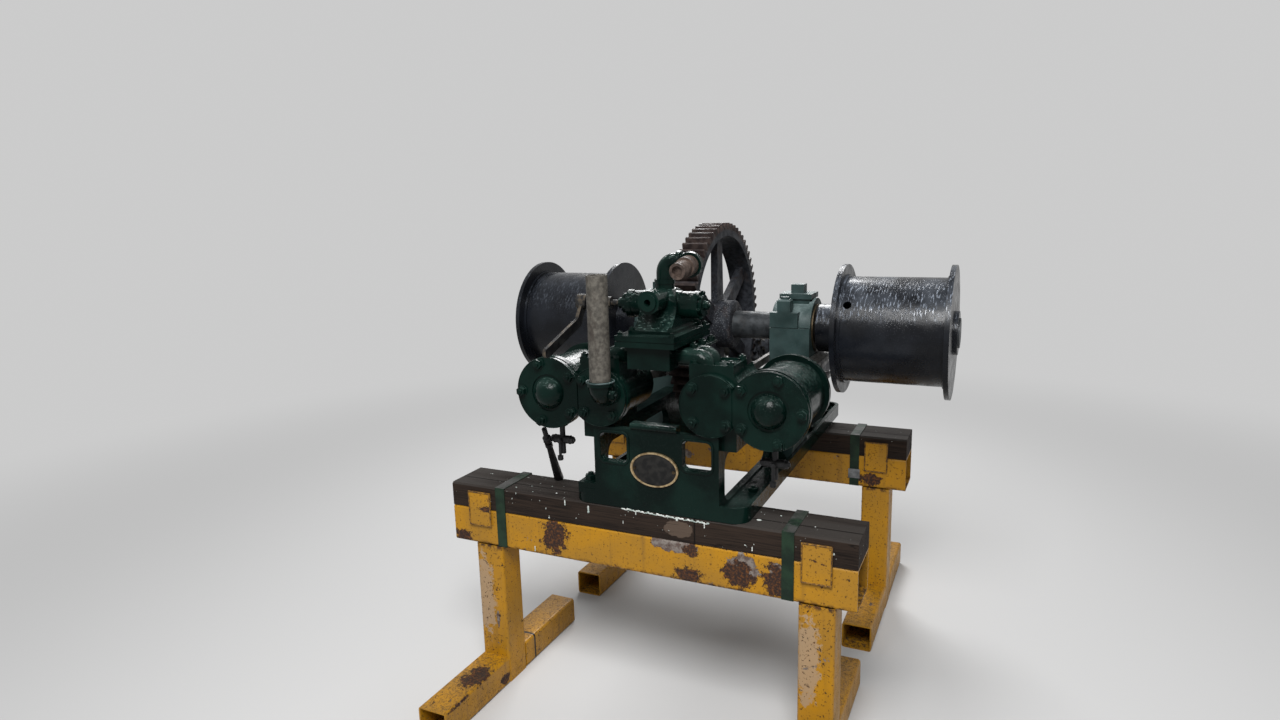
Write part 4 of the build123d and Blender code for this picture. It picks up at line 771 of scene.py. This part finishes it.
def makeBedNuts():
    screws = bmesh.new()
    nuts = bmesh.new()
    for side in (-1, 1):
        where = seat((side * bed["screwX"], bed["screwFace"], bed["plateZ"]), (0, -1, 0))
        disc(screws, where, bed["screw"], 0, bed["screwHigh"], bed["screwSides"], bed["screwEdge"])
        turned = where @ Matrix.Rotation(bed["slotTurn"] + side, 4, "Z")
        block(screws, turned @ Matrix.Translation((0, 0, bed["slotAt"])), bed["slotSize"])
        for y in bed["railY"]:
            place = (side * bed["railX"], y, bed["railZ"])
            nut(nuts, place, (0, 0, 1), bed["railStud"], y * bed["railTurn"])
    nut(nuts, bed["lug"], (0, 0, 1), bed["lugStud"], bed["lugTurn"])
    addPiece("plateScrews", screws, "bronze")
    addPiece("bedNuts", nuts, "green_enamel")


makeWindowLips()
makeBedNuts()

# Drain pipe that leans behind the front timber, and the clamp that holds it to the left drain cock
drain = {
    "top": (-0.3485, -0.490, 0.836), "foot": (-0.386, -0.362, 0.6405), "thin": 0.0075, "thick": 0.0145,
    "neck": 0.32, "collar": 1.5, "collarLow": 0.012, "collarHigh": 0.004, "skirt": 1.15, "edge": 0.0015,
    "clampZ": 0.797, "clamp": 0.0125, "clampHalf": 0.009, "clampEdge": 0.002, "arm": 0.006,
    "cockEnd": (-0.3395, -0.445, 0.797), "sides": 20, "skirtSides": 24, "armSides": 16,
}
# Squared handles on the drain cocks' cross pieces, and the spout below each
cocks = {
    "x": 0.315, "z": 0.797, "crossY": -0.445, "crossHalf": 0.0245, "stud": 0.011,
    # Boss, spout and knob as radius, length, sides and edge
    "bossY": -0.4575, "boss": (0.007, 0.012, 16, 0.002), "spoutY": -0.4625,
    "spout": (0.0042, 0.052, 14, 0.0015), "knobZ": 0.752, "knob": (0.0085, 0.014, 16, 0.004),
}


def makeDrainPipe():
    mesh = bmesh.new()
    top, foot = Vector(drain["top"]), Vector(drain["foot"])
    where = seat(top, foot - top)
    length = (foot - top).length
    neck = length * drain["neck"]
    thin, edge, clampEdge = drain["thin"], drain["edge"], drain["clampEdge"]
    sides, half = drain["sides"], drain["clampHalf"]
    collarTop = neck + drain["collarHigh"]
    disc(mesh, where, thin, 0, neck, sides, edge)
    disc(mesh, where, thin * drain["collar"], neck - drain["collarLow"], collarTop, sides, clampEdge)
    disc(mesh, where, thin * drain["skirt"], collarTop, length, drain["skirtSides"], edge, drain["thick"])
    grip = top.lerp(foot, (top.z - drain["clampZ"]) / (top.z - foot.z))
    disc(mesh, seat(grip, foot - top), drain["clamp"], -half, half, sides, clampEdge)
    arm = Vector(drain["cockEnd"]) - grip
    disc(mesh, seat(grip, arm), drain["arm"], 0, arm.length, drain["armSides"])
    addPiece("drainPipe", mesh, "lever_steel", "blackIron")


def makeCockHandles():
    mesh = bmesh.new()
    z = cocks["z"]
    for side in (-1, 1):
        x = side * cocks["x"]
        for end in (-1, 1):
            place = (x + end * cocks["crossHalf"], cocks["crossY"], z)
            nut(mesh, place, (end, 0, 0), cocks["stud"], end)
        for name, place, axis in (("boss", (x, cocks["bossY"], z), (0, -1, 0)),
                                  ("spout", (x, cocks["spoutY"], z), (0, 0, -1)),
                                  ("knob", (x, cocks["spoutY"], cocks["knobZ"]), (0, 0, -1))):
            radius, length, sides, edge = cocks[name]
            disc(mesh, seat(place, axis), radius, 0, length, sides, edge)
    addPiece("cockHandles", mesh, "lever_steel", "blackIron")


makeDrainPipe()
makeCockHandles()

# Steam side: ridges on the hose tail, the plug on the exhaust elbow and the bead round its collar
steam = {
    "mouth": (0.09, -0.4546, 1.3029), "fall": 7, "ridges": (0.044, 0.056, 0.068), "ridge": 0.0218,
    "ridgeEnd": 0.0212, "ridgeWidth": 0.005, "ridgeEdge": 0.0007, "ridgeSides": 32,
    "plug": (-0.0895, -0.565, 0.972), "plugStud": 0.0125, "collar": (-0.120, -0.565, 1.0075),
    "collarRing": (0.0365, 0.0022),
}


def makeSteamDetails():
    ridges = bmesh.new()
    fall = radians(steam["fall"])
    where = seat(steam["mouth"], (0, -cos(fall), -sin(fall)))
    for start in steam["ridges"]:
        disc(ridges, where, steam["ridge"], start, start + steam["ridgeWidth"], steam["ridgeSides"],
             steam["ridgeEdge"], steam["ridgeEnd"])
    addPiece("hoseRidges", ridges, "rusty_coupling")
    plug = bmesh.new()
    nut(plug, steam["plug"], (1, 0, 0), steam["plugStud"])
    addPiece("elbowPlug", plug, "green_enamel")
    collar = bmesh.new()
    ring(collar, Matrix.Translation(steam["collar"]), *steam["collarRing"])
    # The collar's bead takes the pedestal's lighter, top-sheened green, a painted highlight line round the
    # collar
    addPiece("collarBead", collar, "green_enamel", "green_pedestal")


makeSteamDetails()

# Trestles: weld round each cleat and seals on the straps
trestle = {
    "cleatX": (-0.583, 0.439), "cleatY": (-0.506, -0.344, 0.404, 0.566), "cleatZ": 0.566,
    "cleatSize": (0.075, 0.104), "weld": 0.0022, "weldSides": 8,
    "sealX": (-0.509, 0.365), "sealY": (-0.3455, 0.4055), "sealZ": 0.499,
    "seal": (0.040, 0.0035, 0.034), "sealEdge": 0.001,
}


def makeWelds():
    mesh = bmesh.new()
    width, height = trestle["cleatSize"]
    weld, z = trestle["weld"], trestle["cleatZ"]
    level = Matrix.Rotation(pi / 2, 4, "Y")
    for x in trestle["cleatX"]:
        for y in trestle["cleatY"]:
            for side in (-1, 1):
                for where, length in ((Matrix.Translation((x + side * width / 2, y, z)), height),
                                      (Matrix.Translation((x, y, z + side * height / 2)) @ level, width)):
                    half = (length + weld) / 2
                    disc(mesh, where, weld, -half, half, trestle["weldSides"])
    addPiece("cleatWelds", mesh, "yellow_steel", "weldBead")


def makeSeals():
    mesh = bmesh.new()
    for x in trestle["sealX"]:
        for y in trestle["sealY"]:
            block(mesh, Matrix.Translation((x, y, trestle["sealZ"])), trestle["seal"], trestle["sealEdge"])
    addPiece("strapSeals", mesh, "green_strap", "galvanised")


# Paint splashed down the front timber: drips as x, z, width and length, spots as x, y and size
splashes = {
    "face": -0.500, "top": 0.638, "thin": 0.0012, "thick": 0.0018,
    "drips": [(-0.285, 0.627, 4, 16), (-0.209, 0.618, 6, 20), (-0.395, 0.468, 4, 16), (0.271, 0.579, 3, 12),
              (-0.060, 0.628, 3, 10), (0.062, 0.630, 6, 9), (0.140, 0.622, 3, 14), (-0.350, 0.600, 2, 4),
              (-0.100, 0.596, 2, 9), (-0.452, 0.632, 2, 5), (-0.250, 0.585, 2, 3)],
    "spots": [(0.274, -0.448, 7), (-0.470, -0.470, 3), (-0.430, -0.446, 2), (-0.402, -0.485, 2),
              (-0.330, -0.470, 3), (-0.372, -0.425, 2), (0.320, -0.400, 3), (0.420, -0.440, 2)],
    # Those widths, lengths and sizes are in mm, and these divide them into half sizes in metres
    "drip": 2000, "dripFoot": (1700, 1500), "dripFall": 2300, "spot": (1000, 1400),
    # The line under the bed's foot: its ends, its count, and how each blob lies and swells
    "edge": (-0.101, 0.150, 46), "edgeZ": 0.6345, "edgeFall": 0.006, "edgeSway": 0.002,
    "edgeWaves": (2.4, 5.1), "edgeHalf": (0.0045, 0.0013, 0.0022), "edgeSwell": 0.0014,
}


def blob(mesh, centre, half):
    bmesh.ops.create_icosphere(mesh, subdivisions=2, radius=1,
                               matrix=Matrix.Translation(centre) @ Matrix.Diagonal((*half, 1)))


def makeSplashes():
    mesh = bmesh.new()
    face, thin, drip = splashes["face"], splashes["thin"], splashes["drip"]
    footWide, footHigh = splashes["dripFoot"]
    spotWide, spotDeep = splashes["spot"]
    for x, z, width, length in splashes["drips"]:
        blob(mesh, (x, face, z), (width / drip, thin, length / drip))
        foot = (x, face, z - length / splashes["dripFall"])
        blob(mesh, foot, (width / footWide, splashes["thick"], width / footHigh))
    for x, y, size in splashes["spots"]:
        blob(mesh, (x, y, splashes["top"]), (size / spotWide, size / spotDeep, thin))
    start, end, count = splashes["edge"]
    wide, proud, high = splashes["edgeHalf"]
    slow, quick = splashes["edgeWaves"]
    for step in range(count):
        share = step / (count - 1)
        sway = sin(step * slow) * 0.5 + sin(step * quick) * 0.5
        z = splashes["edgeZ"] - splashes["edgeFall"] * share + sway * splashes["edgeSway"]
        half = (wide, proud, high + splashes["edgeSwell"] * sway)
        blob(mesh, (start + (end - start) * share, face, z), half)
    addPiece("paintSplashes", mesh, "old_timber", "splash")


makeWelds()
makeSeals()
makeSplashes()

# Floor, lamps and world
studio = {
    "floor": 300, "floorTone": 0.52, "world": 0.37, "backdrop": 0.60, "fade": (1.6, 5),
    # Each lamp's place, power and size
    "lamps": {
        "keyLamp": ((0.7, -2.7, 3.6), 180, 1.6),
        "rimLamp": ((-1.0, 2.6, 3.2), 115, 1.6),
    },
    "aim": (0, 0, 0.9),
}


def seenStraight(paint):
    # 1 where the backdrop is seen, directly or in gloss and glass
    kinds = ("Is Camera Ray", "Is Glossy Ray", "Is Transmission Ray")
    camera, glossy, through = (paint.node("LightPath", out=kind) for kind in kinds)
    return camera | glossy | through


def makeStudio():
    low = cadBounds[0].z
    bpy.ops.mesh.primitive_plane_add(size=studio["floor"], location=(0, 0, low))
    floor = bpy.context.object
    floor.name = "floor"
    paint = Paint("floorPaint")
    near = paint.node("BsdfDiffuse", None, {"Color": (studio["floorTone"],) * 3})
    far = paint.node("Emission", None, {"Color": (studio["backdrop"],) * 3})
    fade = paint.ramp(paint.reach((0, 0, low), (1, 1, 1)), *studio["fade"]) * seenStraight(paint)
    both = paint.node("MixShader", None, {0: fade, 1: near, 2: far})
    paint.node("OutputMaterial", None, {"Surface": both})
    floor.data.materials.append(paint.material)
    for name, (place, power, size) in studio["lamps"].items():
        lamp = bpy.data.objects.new(name, bpy.data.lights.new(name, "AREA"))
        lamp.data.energy = power
        lamp.data.size = size
        lamp.location = place
        lamp.rotation_euler = (Vector(studio["aim"]) - lamp.location).to_track_quat("-Z", "Y").to_euler()
        bpy.context.scene.collection.objects.link(lamp)
    sky = Paint("world", "worlds")
    level = seenStraight(sky) * (studio["backdrop"] - studio["world"]) + studio["world"]
    backdrop = sky.node("Background", None, {"Color": (1, 1, 1), "Strength": level})
    sky.node("OutputWorld", None, {"Surface": backdrop})
    bpy.context.scene.world = sky.material
    bpy.context.scene.view_settings.view_transform = "Standard"


makeStudio()
print("studio set")
